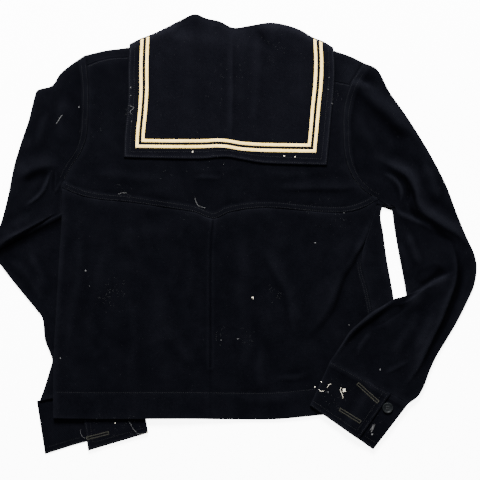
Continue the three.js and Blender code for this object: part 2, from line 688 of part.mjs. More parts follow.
// Sleeves: flattened tubes, each ring a lower layer, a crest, an upper layer and a crest
function sleeveRing(row, low, folds) {
  const high = (point) => low(point) + LAYER + relief(folds, point);
  const last = row.length - 1;
  const innerEdge = inset(row[0], row[1], FOLD_RADIUS);
  const outerEdge = inset(row[last], row[last - 1], FOLD_RADIUS);
  const flat = [innerEdge, ...row.slice(1, -1), outerEdge];
  const lower = flat.map((point) => layerPoint(point, low(point), false));
  const upper = flat.map((point) => layerPoint(point, high(point), true)).reverse();
  const crest = (edge, next, near) => crestPoint(edge, outwardOf(edge, next), low(near), high(near));
  const outerCrest = crest(row[last], row[last - 1], outerEdge);
  const innerCrest = crest(row[0], row[1], innerEdge);
  return [...lower, outerCrest, ...upper, innerCrest, lower[0]];
}

function sleeveGeometry(sleeve) {
  const { armhole, inner, outer, forearmInner, forearmOuter, cuffSeam, folds, upperLow, forearmLow } = sleeve;
  const elbow = line(inner(1), outer(1));
  const upperPatch = patch({ bottom: armhole, top: elbow, left: inner, right: outer });
  const forearmPatch = patch({ bottom: elbow, top: cuffSeam, left: forearmInner, right: forearmOuter });
  const columns = steps(SLEEVE_COLUMNS);
  const upper = planGrid(upperPatch, columns, steps(UPPER_ARM_RINGS));
  const forearm = planGrid(forearmPatch, columns, [ELBOW_STEP, ...steps(FOREARM_RINGS).slice(1)]);
  if (sleeve.turnBelow) keepInside(upper, inner, sleeve.turnBelow);
  pull(upper, "bottom", ARMHOLE_SEAM);
  pull(forearm, "top", SEAM / 2);
  const upperRings = upper.map((row, index) => {
    return sleeveRing(row, (point) => upperLow(point, index / UPPER_ARM_RINGS), folds);
  });
  return clothGeometry([[...upperRings, ...forearm.map((row) => sleeveRing(row, forearmLow, folds))]]);
}

const SLEEVES = {
  left: {
    armhole: paced(ARMHOLE.left, ARMHOLE_STOPS.left),
    inner: EDGES.leftSleeveInner,
    outer: EDGES.leftSleeveOuter,
    forearmInner: EDGES.leftForearmInner,
    forearmOuter: EDGES.leftForearmOuter,
    cuffSeam: line(CUFFS.left.seam[1], CUFFS.left.seam[0]),
    folds: RELIEFS.leftSleeve,
    upperLow: restLevel,
    forearmLow: onFloor,
  },
  right: {
    armhole: paced(ARMHOLE.right, ARMHOLE_STOPS.right),
    inner: EDGES.rightSleeveInner,
    outer: EDGES.rightSleeveOuter,
    forearmInner: EDGES.rightForearmInner,
    forearmOuter: EDGES.rightForearmOuter,
    cuffSeam: line(...CUFFS.right.seam),
    folds: RELIEFS.rightSleeve,
    turnBelow: 40, // the y below which the whole sleeve lies right of its inner edge
    upperLow: (point, along) => restLevel(point) + onBody(point) * smooth(along, 0.5, 1),
    forearmLow: onBody,
  },
};

// Cuffs: one band each, given as columns across its plan, with the layer that each column lies on
function cuffPatch(seam, wrist) {
  const bottom = curve(wrist.map((point) => point.toArray()));
  const sides = { left: line(bottom(0), seam[0]), right: line(bottom(1), seam[1]) };
  return patch({ bottom, top: line(...seam), ...sides });
}

function cuffGeometry({ seam, wrist, topWrist = wrist }, columns, ground) {
  const lowPatch = cuffPatch(seam, wrist);
  const topPatch = cuffPatch(seam, topWrist);
  const rows = steps(CUFF_ROWS, 0, 1 - SEAM / 2 / CUFF_HEIGHT).map((v) => {
    const width = lowPatch(0, v).distanceTo(lowPatch(1, v));
    const edgeShare = FOLD_RADIUS / width;
    return columns.map(({ share, layer, up, crest }) => {
      const at = up ? topPatch : lowPatch;
      if (crest) {
        const point = at(share, v);
        const outward = outwardOf(point, at(0.5, v));
        return crestPoint(point, outward, ground(point), ground(point) + LAYER);
      }
      const point = at(THREE.MathUtils.clamp(share, edgeShare, 1 - edgeShare), v);
      return layerPoint(point, ground(point) + layer * LAYER, up);
    });
  });
  return clothGeometry([rows]);
}

const cuffColumn = (layer, up) => (share) => ({ share, layer, up });
const RIGHT_CUFF_COLUMNS = [
  ...[CUFF_LAP.buttonEnd, 0.8, 0.9, 1].map(cuffColumn(1, true)),
  { share: 1, crest: true },
  ...[1, 0.8, 0.6, 0.4, 0.2, 0].map(cuffColumn(0, false)),
  { share: 0, crest: true },
  ...[0, 0.13, 0.26, 0.38].map(cuffColumn(1, true)),
  ...[CUFF_LAP.buttonEnd - 0.04, 0.68, CUFF_LAP.topEnd].map(cuffColumn(2, true)),
];
const LEFT_CUFF_COLUMNS = [
  ...[0, 0.2, 0.4, 0.6, 0.8, 1].map(cuffColumn(0, false)),
  { share: 1, crest: true },
  ...[1, 0.8, 0.6, LEFT_CUFF_TOP_END].map(cuffColumn(1, true)),
];

// Button: a dished disc with a raised rim and four holes
function solidOf(geometry) {
  geometry.deleteAttribute("normal");
  geometry.deleteAttribute("uv");
  const merged = mergeVertices(geometry, 1e-4);
  const vertProperties = new Float32Array(merged.attributes.position.array);
  const triVerts = new Uint32Array(merged.index.array);
  return new wasm.Manifold(new wasm.Mesh({ numProp: 3, vertProperties, triVerts }));
}

function buttonDisc() {
  const radius = BUTTON.diameter / 2;
  const { thickness, rim, dish, edge, sides } = BUTTON;
  const profile = [
    [0, 0], [radius - edge, 0], [radius, edge], [radius, thickness - edge], [radius - edge, thickness],
    [radius - rim, thickness], [radius - rim - edge, thickness - dish], [0, thickness - dish],
  ];
  const points = profile.map(([r, z]) => new THREE.Vector2(r, z));
  return new THREE.LatheGeometry(points, sides).rotateX(Math.PI / 2);
}

function buttonGeometry() {
  const { count, circle, diameter, sides } = BUTTON_HOLES;
  let solid = solidOf(buttonDisc());
  for (let index = 0; index < count; index += 1) {
    const angle = ((index + 0.5) * 2 * Math.PI) / count;
    const drill = new THREE.CylinderGeometry(diameter / 2, diameter / 2, 4 * BUTTON.thickness, sides);
    drill.rotateX(Math.PI / 2).translate((circle / 2) * Math.cos(angle), (circle / 2) * Math.sin(angle), 0);
    solid = solid.subtract(solidOf(drill));
  }
  const { numProp, vertProperties, triVerts } = solid.getMesh();
  const points = [];
  for (let start = 0; start < vertProperties.length; start += numProp) {
    points.push(new THREE.Vector3(...vertProperties.slice(start, start + 3)));
  }
  const triangles = [];
  for (let start = 0; start < triVerts.length; start += 3) {
    triangles.push([...triVerts.slice(start, start + 3)]);
  }
  return solidGeometry(points, triangles);
}

addMesh("front", frontGeometry(), COLOURS.wool);
addMesh("back_lower", backLowerGeometry(), COLOURS.wool);
addMesh("back_yoke", yokeGeometry(), COLOURS.wool);
addMesh("collar", collarGeometry(), COLOURS.collarWool);
addMesh("stripe_outer", tapeGeometry(0), COLOURS.tape);
addMesh("stripe_inner", tapeGeometry(TAPE.width + TAPE.gap), COLOURS.tape);
addMesh("sleeve_left", sleeveGeometry(SLEEVES.left), COLOURS.wool);
addMesh("sleeve_right", sleeveGeometry(SLEEVES.right), COLOURS.wool);
addMesh("cuff_left", cuffGeometry(CUFFS.left, LEFT_CUFF_COLUMNS, onFloor), COLOURS.wool);
addMesh("cuff_right", cuffGeometry(CUFFS.right, RIGHT_CUFF_COLUMNS, onBody), COLOURS.wool);
const button = addMesh("button_right", buttonGeometry(), COLOURS.button);
const buttonSeat = onBody(new THREE.Vector2(BUTTON.x, BUTTON.y)) + LAYER + CLOTH;
button.position.set(BUTTON.x, BUTTON.y, buttonSeat + SEAM);

export default group;
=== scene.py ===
"""Looks of a navy wool sailor jumper that lies flat with its back up.

Each cloth piece is a thin shell on its solid's own plan and layers, with finer creases, lapped and
stitched seams. Lengths in the tables are millimetres, as in the solids, and meshes are in metres.
"""
import math

import bpy
import numpy as np
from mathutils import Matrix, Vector, noise
from mathutils.bvhtree import BVHTree


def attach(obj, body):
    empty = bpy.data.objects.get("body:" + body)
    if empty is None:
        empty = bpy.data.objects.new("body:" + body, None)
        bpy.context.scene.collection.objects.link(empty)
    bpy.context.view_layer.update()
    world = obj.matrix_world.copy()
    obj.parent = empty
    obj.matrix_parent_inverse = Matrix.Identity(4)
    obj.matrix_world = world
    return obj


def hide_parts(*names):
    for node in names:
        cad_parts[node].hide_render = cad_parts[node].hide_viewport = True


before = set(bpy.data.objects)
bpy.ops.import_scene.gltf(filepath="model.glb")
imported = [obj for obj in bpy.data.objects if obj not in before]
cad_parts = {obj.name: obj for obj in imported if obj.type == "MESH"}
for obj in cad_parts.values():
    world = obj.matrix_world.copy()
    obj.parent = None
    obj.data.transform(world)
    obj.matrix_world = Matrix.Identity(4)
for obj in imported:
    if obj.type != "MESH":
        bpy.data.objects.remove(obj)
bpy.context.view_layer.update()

MM = 0.001
CHANCE = np.random.default_rng(11)

# Driving dimensions, as in the solids; only the tapes are drawn narrower, as their bright edges spread
CLOTH = 1.5
LAYER = 2.0
TWO_LAYERS = 2 * LAYER
FOLD_RADIUS = (LAYER + CLOTH) / 2
COLLAR_SIZE = {"width": 285, "depth": 175}
TAPE = {"width": 4.1, "gap": 3.9, "thickness": 0.7, "top_gap": 3}
TAPE_BORDER = {"left": 16.2, "right": 17.2, "bottom_left": 13.8, "bottom_right": 17.6}
TAPE_DIP = {"depth": 3.7, "place": 0.55, "width": 0.1}
BUTTON = {
    "x": 213.5, "y": -242, "diameter": 15, "thickness": 3, "rim": 1.6, "dish": 0.8, "seat": 0.3,
    "turn": 38, "hole": 0.85, "hole_reach": 2.1,
}
CUFF_LAP = {"button_end": 0.62, "top_end": 0.765}
LEFT_CUFF_TOP_END = 0.41
LEFT_CUFF_START = -0.025
CUFF_HEIGHT = 73
CUFF_WIDTHS = {"left": 148, "right": 106}
BODY_WIDTH = 440
BACK_HEIGHT = 320
SIDE_LENGTH = 300
YOKE_SIZE = {"width": 420, "depth": 200}
SLEEVE_LENGTHS = {"upper": 240, "forearm": 215}

# Fineness of the shells
CELL = 2.1
ARC_STEPS = 5
EDGE_STEPS = (0, 0.2, 0.55, 1.1)
CUFF_TOP_STEPS = (0, 0.6, 1.6)
CUFF_CELL = 1.8
FRONT_COLUMNS = 32
SHOULDER_COLUMNS = 16
SHOULDER_ROWS = 24
SLEEVE_COLUMNS = 63
TAPE_LINES = 6
TAPE_STEPS = {"side": 80, "bottom": 120}
# The under layer of a sleeve has one column for this many of the upper one
LOWER_STEP = 4

# Worn ridges with painted highlight, painted shade in hollows: the blur that a ridge is measured against,
# and the height in mm that counts as a full one
TONE_BLUR = 14
TONE_RANGE = 1.1

# Waves of the cloth: their size, height and place in the noise
WEAR_WAVES = [(46, 0.6, 3), (17, 0.28, 10), (6.5, 0.10, 16)]

# Seams
LAP = 0.75
ARMHOLE_LAP = 2.2
ARMPIT_TURN = 40
# Shares of a sleeve: the room beside its folds, and where the forearm's rows start
SLEEVE_MARGIN = 0.027
ELBOW_ROW = 0.016
ELBOW_END = 0.02
COLUMN_ROOM = 0.15
BAND = {"yoke": 8.5, "armhole": 9, "side": 5.5}
ARMHOLE_STEP = 0.8
ARMHOLE_ROWS = (0.2, 6.2)
SIDE_SEAM_SHOWN = 0.70
SIDE_LAP = 0.55
SIDE_BAND_END = (-40, -12)
SHOULDER_SHARE = 6 / 22
HEM_DEPTH = 38
HEM = {"height": 0.45, "stitched_in": 0.35}
COLLAR_HEM = 0.35
COLLAR_WEAR = 0.7
COLLAR_ROWS = (2.2, 8.6)
DEEPEST_CREASE = -0.8

# The photograph's grid: the place of its middle and the millimetres in one of its steps
PHOTO = {"x": 234.7, "y": 234.5, "scale": 1.4}

# Thread and lint, in steps of the photograph's grid; radii and sizes are millimetres
BUTTONHOLE = {"slit": 0.95, "width": 5.2, "radius": 0.26}
STITCH = {"length": 1.7, "gap": 1.0, "radius": 0.17, "jitter": 0.05, "step": 0.9}
CUFF_ROWS = (2.4, 8.5)
BUTTONHOLES = [((357.5, 383.5), (377.5, 401.5)), ((339.5, 409), (360, 421.5)), ((87, 438.5), (108.5, 433))]
TUFT = [((374.5, 423.5), (370, 429)), ((374.5, 425), (369.5, 430)), ((373.5, 425), (370.5, 431.5)),
        ((373, 424), (370, 429)), ((373.5, 427), (370.5, 432))]
PALE_THREADS = [
    (0.24, [(341, 387), (340, 389.5), (341.5, 393), (343, 398.5)]),
    (0.20, [(318.5, 389), (321, 391), (324, 390.5)]),
    (0.20, [(327, 387.5), (328.5, 384.5), (331, 383.5)]),
    (0.18, [(141, 434), (143.5, 435), (147, 432.5)]),
]
PALE_FLECKS = [
    ((343.5, 389.5), 3.6), ((344.5, 390.5), 3.6), ((343, 391), 3.2), ((344.5, 389), 3.0),
    ((252.5, 298), 3.0),
    ((252.8, 297.4), 2.4), ((193, 152), 3.0), ((284, 156), 2.4), ((295, 157), 2.4), ((315, 387), 1.8),
    ((321.5, 381.5), 1.8), ((147.5, 432), 2.0), ((115, 423), 1.6),
]
GREY_THREADS = [
    (0.15, [(80, 430), (80.5, 434), (83.5, 438), (87, 438.5)]),
    (0.16, [(128.5, 421), (131, 425), (134, 430), (138, 433.5), (141.5, 434.5)]),
    (0.34, [(56, 124), (58, 121.5), (60, 118.5), (62.5, 115)]),
    (0.22, [(129, 106), (132.5, 107), (134, 108.5), (131, 111), (130.5, 113), (133, 115)]),
    (0.20, [(195, 198), (196, 202), (199, 206), (206, 208)]),
    (0.18, [(118, 194.5), (122, 193), (127, 193)]),
    (0.20, [(87, 447), (90, 450.5), (97, 449)]),
]
GREY_FLECKS = [
    ((79, 107), 2.6), ((315, 243), 2.8), ((86, 270.5), 2.4), ((90, 286), 1.4), ((61, 358), 2.4),
    ((380, 369.5), 3.2),
    ((328, 392), 2.0), ((140, 104), 1.8), ((131, 96), 1.8), ((329, 78), 1.8), ((131, 88), 2.2),
    ((332, 104), 1.8),
    ((328, 90), 1.6), ((132, 122), 1.6), ((344, 213), 1.4), ((238, 339), 1.8), ((221, 340), 1.8),
    ((349, 325), 1.8), ((372, 434), 3.0),
]
LINT_PATCHES = [
    (118, 291, 8, 26), (275, 295, 6, 16), (245, 338, 6, 16), (220, 337, 5, 12), (104, 300, 7, 16),
    (122, 190, 6, 12),
    (230, 85, 12, 22), (272, 50, 8, 14), (130, 110, 6, 14), (200, 155, 30, 24), (330, 100, 8, 20),
    (195, 203, 6, 8),
    (105, 425, 10, 14), (130, 428, 9, 16), (335, 395, 10, 22), (372, 425, 7, 14), (90, 120, 12, 10),
    (306, 210, 12, 10),
    (344, 218, 6, 8),
]

# The photograph's view, which is straight down
VIEW = {"x": 7.4, "y": -7.7, "width": 672, "height": 1700, "plane": 4}
SENSOR = 36

# Light: the sky all round, one large window above the collar's end, and the floor's own glow
SKY = {"colour": (0.95, 0.97, 1, 1), "strength": 1.5}
WINDOW = {"place": (-0.3, 3.3, 2.4), "target": (0, 0, 0), "size": 1.3, "power": 1550}
FLOOR_GLOW = 7.0
FLOOR_HALF = 2500


# Curves in plan
def curve(points):
    """A smooth curve through the points, as a function of the share of its length."""
    knots = np.array(points, float)
    ends = np.vstack([2 * knots[0] - knots[1], knots, 2 * knots[-1] - knots[-2]])
    gaps = np.maximum(np.linalg.norm(np.diff(ends, axis=0), axis=1), 1e-6) ** 0.5
    t = np.linspace(0, 1, 24, endpoint=False)[:, None]
    pieces = []
    for index in range(len(knots) - 1):
        p0, p1, p2, p3 = ends[index:index + 4]
        d0, d1, d2 = gaps[index:index + 3]
        t1 = ((p1 - p0) / d0 - (p2 - p0) / (d0 + d1) + (p2 - p1) / d1) * d1
        t2 = ((p2 - p1) / d1 - (p3 - p1) / (d1 + d2) + (p3 - p2) / d2) * d1
        pieces.append(p1 + t1 * t + (3 * (p2 - p1) - 2 * t1 - t2) * t**2 + (2 * (p1 - p2) + t1 + t2) * t**3)
    path = np.vstack(pieces + [knots[-1:]])
    length = np.concatenate([[0], np.cumsum(np.linalg.norm(np.diff(path, axis=0), axis=1))])

    def at(share):
        place = np.clip(np.asarray(share, float), 0, 1) * length[-1]
        return np.stack([np.interp(place, length, path[:, axis]) for axis in (0, 1)], axis=-1)

    return at


def between(path, start, end):
    return lambda share: path(start + (end - start) * np.asarray(share, float))


def backwards(path):
    return between(path, 1, 0)


def line(a, b):
    a, b = np.array(a, float), np.array(b, float)
    return lambda share: a + (b - a) * np.asarray(share, float)[..., None]


def joined(first, second):
    def at(share):
        share = np.asarray(share, float)
        return np.where((share <= 0.5)[..., None], first(2 * share), second(2 * share - 1))
    return at


def beside(path, distance):
    """The path moved to its left by a distance."""
    def at(share):
        share = np.asarray(share, float)
        along = path(np.clip(share + 0.004, 0, 1)) - path(np.clip(share - 0.004, 0, 1))
        along /= np.linalg.norm(along, axis=-1, keepdims=True)
        return path(share) + distance * np.stack([-along[..., 1], along[..., 0]], axis=-1)
    return at


ARMHOLE = {
    "left": curve([(-243, 66), (-231, 92), (-217, 113), (-209, 135), (-206, 174), (-206, 209), (-210, 251)]),
    "right": curve([
        (212, 44), (200, 50.5), (184, 60), (167, 79), (156, 107), (153, 139), (154, 177), (164, 211),
        (182, 240),
    ]),
}
ARMPIT_ROLL = 0.05
SHOULDER_SEAM = {"left": 0.92, "right": 0.84}
ARMPIT = {"left": ARMHOLE["left"](ARMPIT_ROLL), "right": ARMHOLE["right"](ARMPIT_ROLL)}

LEFT_SIDE_SEAM = curve([(-222, -257), (-219, -150), (-221, -60), (-226, 20), ARMPIT["left"]])
RIGHT_SIDE_SEAM = curve([
    (198, -246), (199, -190), (196, -134), (187, -82), (177, -38), (189, 9), ARMPIT["right"],
])
BODY_LEFT = curve([
    (-254, -257), (-254, -218), (-253, -162), (-249, -92), (-246, -36), (-242, 27), (-243, 66),
])
BODY_RIGHT = curve([
    (224, -244), (227, -190), (227, -134), (223, -90), (213, -33), (208, 4), (204.5, 26), (206.5, 37),
    (212, 44),
])
YOKE_SEAM = curve([
    (-243, 66), (-217, 55), (-189, 49), (-154, 46), (-119, 41), (-84, 36), (-56, 31), (-30, 22),
    (-7, 31), (21, 36), (56, 37), (91, 34), (126, 31), (161, 32), (183, 39), ARMPIT["right"],
])
BACK_HEM = curve([(-254, -257), (-196, -258), (-60, -258), (-9, -259), (56, -259), (122, -253), (198, -246)])
FRONT_HEM = curve([
    (-222, -257), (-196, -258), (-60, -258), (-9, -259), (56, -259), (122, -253), (224, -244),
])
YOKE_TOP = curve([
    ARMHOLE["left"](SHOULDER_SEAM["left"]),
    (-189, 243), (-169, 247), (-149, 248), (-119, 255), (-91, 264), (-60, 261), (-30, 258), (-4, 255),
    (24, 251), (52, 244), (82, 234), (103, 225), (122, 216), (143, 213),
    ARMHOLE["right"](SHOULDER_SEAM["right"]),
])
LEFT_SHOULDER = curve([(-210, 251), (-179, 258), (-149, 262), (-119, 271), (-100, 277)])
RIGHT_SHOULDER = curve([(68, 283), (98, 275), (117, 267), (138, 258), (161, 250), (182, 240)])
COLLAR_TOP = curve([
    (-147, 267), (-133, 274), (-120, 279), (-98, 289), (-77, 300), (-56, 309), (-39, 303), (-21, 299),
    (-2, 290), (21, 293), (49, 297), (70, 294), (91, 287), (110, 276), (125, 270), (138, 262),
])
COLLAR_BOTTOM = curve([
    (-155, 108), (-126, 107), (-84, 106), (-42, 106), (-23, 108), (-8, 108), (14, 104), (38, 100),
    (84, 98), (129, 97),
])
COLLAR_LEFT = curve([(-155, 108), (-154, 139), (-151, 167), (-149, 195), (-149, 230), (-147, 267)])
COLLAR_RIGHT = curve([(129, 97), (133, 139), (136, 174), (139, 202), (140, 230), (138, 262)])
V_POINT = np.array([-15.0, 60.0])
LAPELS = {
    "left": {"outer": [(-147, 267), (-118, 165), (-38, 72)], "end": [(-38, 72), (-20, 64)],
             "throat": (-78, 240)},
    "right": {"outer": [(138, 262), (104, 160), (8, 72)], "end": [(-10, 64), (8, 72)],
              "throat": (50, 235)},
}
SLEEVE_EDGES = {
    "left": {
        "inner": curve([(-243.0, 65.7), (-241.8, 46), (-240.9, 29)]),
        "outer": curve([
            (-210.2, 251), (-231, 237), (-245, 225), (-256, 209), (-277, 202), (-281, 192), (-289, 160),
            (-299, 130), (-309, 96), (-317, 55), (-326, 20), (-336, -8), (-339.5, -22),
        ]),
        "forearm_inner": curve([
            (-240.9, 29), (-238.5, 18), (-222, -30), (-185, -100), (-155, -160), (-134, -206),
        ]),
        "forearm_outer": curve([
            (-339.5, -22), (-336, -33), (-326, -46), (-309, -68), (-291, -90), (-277, -107), (-270, -117),
            (-266, -148), (-259, -166), (-256, -176), (-260, -192), (-267, -215), (-274, -234),
        ]),
    },
    "right": {
        "inner": curve([(212.3, 44), (216, 42), (219, 38), (224, 6), (230, -29), (236, -61), (240, -86)]),
        "outer": curve([
            (182.2, 240), (199, 232), (217, 200), (238, 170), (259, 138), (279, 104), (297, 68), (311, 31),
            (324, -1), (336, -27), (339.5, -42),
        ]),
        "forearm_inner": curve([
            (240, -86), (231, -88), (223, -90), (206, -100), (189, -110), (175, -122), (161, -135),
            (150, -152), (140, -167), (133, -177),
        ]),
        "forearm_outer": curve([
            (339.5, -42), (339, -55), (335, -74), (328, -90), (311, -124), (296, -149), (283, -170),
            (273, -191), (265, -212), (257, -226), (243, -237),
        ]),
    },
}
CUFFS = {
    "left": {
        "seam": [(-274, -234), (-134, -206)],
        "wrist": [(-266, -308), (-205, -290), (-121, -278)],
        "top_wrist": [(-264, -320.5), (-121, -278)],
    },
    "right": {"seam": [(133, -177), (243, -237)], "wrist": [(105, -239), (194, -301)]},
}


# Plan patches
def patch(bottom, top, left, right):
    """A point between four edges: bottom and top run left to right, left and right run upwards."""
    a, b, c, d = bottom(0), bottom(1), top(0), top(1)

    def at(u, v):
        u, v = np.asarray(u, float), np.asarray(v, float)
        across = left(v) * (1 - u[..., None]) + right(v) * u[..., None]
        along = bottom(u) * (1 - v[..., None]) + top(u) * v[..., None]
        low = a + (b - a) * u[..., None]
        high = c + (d - c) * u[..., None]
        return across + along - low - (high - low) * v[..., None]

    return at


def plan_grid(at, us, vs):
    u, v = np.meshgrid(us, vs)
    return at(u, v)


def cells(length, size=CELL):
    return max(2, round(length / size))


def spread(length, size=CELL, start=(), end=()):
    """Shares of a length in equal cells, with the given fine distances added at its start and its end."""
    first = max(start, default=0)
    last = max(end, default=0)
    inner = np.linspace(first, length - last, cells(length, size) + 1)
    whole = np.unique(np.concatenate([np.array(start), inner, length - np.array(end)]))
    return whole / length


# Heights
def smooth(value, start, end):
    t = np.clip((value - start) / (end - start), 0, 1)
    return t * t * (3 - 2 * t)


def segment_distance(points, a, b):
    span = b - a
    offset = points - a
    share = np.clip((offset @ span) / max(span @ span, 1e-9), 0, 1)
    rest = offset - share[..., None] * span
    side = span[0] * rest[..., 1] - span[1] * rest[..., 0]
    return np.linalg.norm(rest, axis=-1), share, side


def outside_distance(polygon, points):
    inside = np.zeros(points.shape[:-1], bool)
    nearest = np.full(points.shape[:-1], np.inf)
    x, y = points[..., 0], points[..., 1]
    for a, b in zip(polygon, np.roll(polygon, -1, axis=0)):
        nearest = np.minimum(nearest, segment_distance(points, a, b)[0])
        if a[1] != b[1]:
            crosses = (a[1] > y) != (b[1] > y)
            inside ^= crosses & (x < (b[0] - a[0]) * (y - a[1]) / (b[1] - a[1]) + a[0])
    return np.where(inside, 0, nearest)


def trace(path, count):
    return path(np.linspace(0, 1, count + 1))


def forearm_outline(side, inner_count, outer_count):
    edges = SLEEVE_EDGES[side]
    wrist = CUFFS[side]["wrist"] if side == "right" else CUFFS[side]["wrist"][::-1]
    return np.vstack([
        trace(edges["forearm_inner"], inner_count),
        wrist,
        trace(backwards(edges["forearm_outer"]), outer_count),
    ])


OUTLINES = {
    "left_forearm": forearm_outline("left", 8, 16),
    "right_forearm": forearm_outline("right", 12, 12),
    "body": np.vstack([
        trace(BACK_HEM, 12),
        trace(BODY_RIGHT, 10),
        trace(between(ARMHOLE["right"], ARMPIT_ROLL, 1), 10),
        trace(backwards(RIGHT_SHOULDER), 4),
        trace(backwards(LEFT_SHOULDER), 4),
        trace(backwards(ARMHOLE["left"]), 10),
        trace(backwards(BODY_LEFT), 10),
    ]),
    "lapels": np.vstack([
        trace(COLLAR_TOP, 16),
        trace(curve(LAPELS["right"]["outer"]), 6),
        trace(backwards(curve(LAPELS["left"]["outer"])), 6),
    ]),
    "neck": np.vstack([
        trace(LEFT_SHOULDER, 6),
        trace(between(YOKE_TOP, 0.27, 0.73), 8),
        trace(RIGHT_SHOULDER, 6),
        [(200, 60), (-240, 60)],
    ]),
}
BRIDGES = {"left_forearm": (30, 150), "lapels": (22, 110), "body": (22, 85), "neck": (10, 45)}


def over(name, points):
    """How much of a layer's height is left at a point beside what lies below."""
    return 1 - smooth(outside_distance(OUTLINES[name], points), *BRIDGES[name])


def rest_level(points):
    return TWO_LAYERS * over("left_forearm", points) + LAYER * over("lapels", points)


def on_body(points):
    return TWO_LAYERS * over("body", points)


def on_floor(points):
    return np.zeros(points.shape[:-1])


# Creases: a ridge falls to nothing over its left and right widths; a trough has a negative height.
# Columns: height, width on the left of the path, width on its right, path
BODY_CREASES = [
    (3.8, 14, 32, [(189, 17), (178, -8), (168, -22), (159, -38), (147, -54), (140, -71), (131, -96),
        (112, -127),
                   (92, -150)]),
    (-1.2, 7, 8, [(196, 12), (184, -14), (172, -38), (158, -62), (150, -86), (140, -112), (124, -138)]),
    (1.3, 26, 12, [(30, -10), (46, -30), (60, -52), (73, -76), (79, -100), (83, -127), (92, -150)]),
    (-0.3, 9, 9, [(64, -60), (69, -84), (71, -110), (74, -138), (84, -158)]),
    (1.0, 16, 9, [(150, -158), (134, -171), (117, -187), (96, -198), (68, -201), (44, -200)]),
    (-1.0, 8, 8, [(140, -150), (122, -172), (104, -184), (84, -190), (64, -190)]),
    (-0.8, 7, 7, [(112, -196), (96, -206), (70, -208), (50, -206)]),
    (-0.9, 6, 5, [(97, 30), (104, 18), (111, 7), (120, -6)]),
    (-1.1, 7, 6, [(134, 30), (146, 22), (157, 13), (168, 4)]),
    (1.8, 5, 12, [(193, 26), (188, 8), (181, -8), (173, -22), (164, -36)]),
    (-1.6, 4, 5, [(192, 18), (191, 4), (189, -10), (185, -24)]),
    (1.2, 14, 20, [(-216, 30), (-218, -20), (-222, -70), (-232, -130), (-236, -180)]),
    (0.9, 22, 14, [(-176, 24), (-180, -20), (-192, -70), (-202, -120), (-206, -170)]),
    (1.4, 24, 28, [(-190, -24), (-150, -6), (-110, 6), (-70, 12), (-40, 13)]),
    (0.9, 24, 24, [(-120, -50), (-104, -110), (-112, -190)]),
    (0.8, 18, 14, [(-98, -120), (-84, -146), (-66, -172), (-50, -190)]),
    (0.9, 20, 20, [(8, 16), (14, -30), (10, -90), (16, -150), (10, -200)]),
    (0.7, 14, 18, [(-70, 4), (-62, -50), (-70, -100), (-64, -130)]),
    (0.7, 14, 14, [(-150, -90), (-140, -140), (-150, -200)]),
    (0.7, 14, 12, [(40, -150), (34, -190), (40, -226)]),
    (1.6, 9, 14, [(180, -100), (176, -130), (160, -160)]),
    (0.6, 14, 12, [(-10, -226), (40, -230), (96, -226)]),
]
YOKE_CREASES = [
    (1.7, 18, 9, [(54, 66), (84, 66), (110, 67), (142, 67), (168, 68), (184, 72)]),
    (-0.8, 7, 8, [(70, 58), (94, 57), (122, 55), (150, 56), (172, 60)]),
    (0.9, 7, 5, [(-60, 80), (-46, 80), (-30, 79), (-12, 80)]),
    (-0.6, 4, 4, [(-54, 76), (-40, 76), (-20, 75), (-8, 76)]),
    (1.0, 16, 14, [(-200, 86), (-164, 84), (-124, 80), (-96, 78)]),
    (1.0, 14, 12, [(-196, 190), (-188, 150), (-184, 116), (-190, 84)]),
    (1.2, 12, 10, [(146, 180), (143, 140), (144, 112), (156, 84)]),
    (0.7, 10, 14, [(-70, 98), (-30, 92), (16, 96)]),
    (0.7, 12, 12, [(40, 88), (80, 84), (120, 88)]),
]
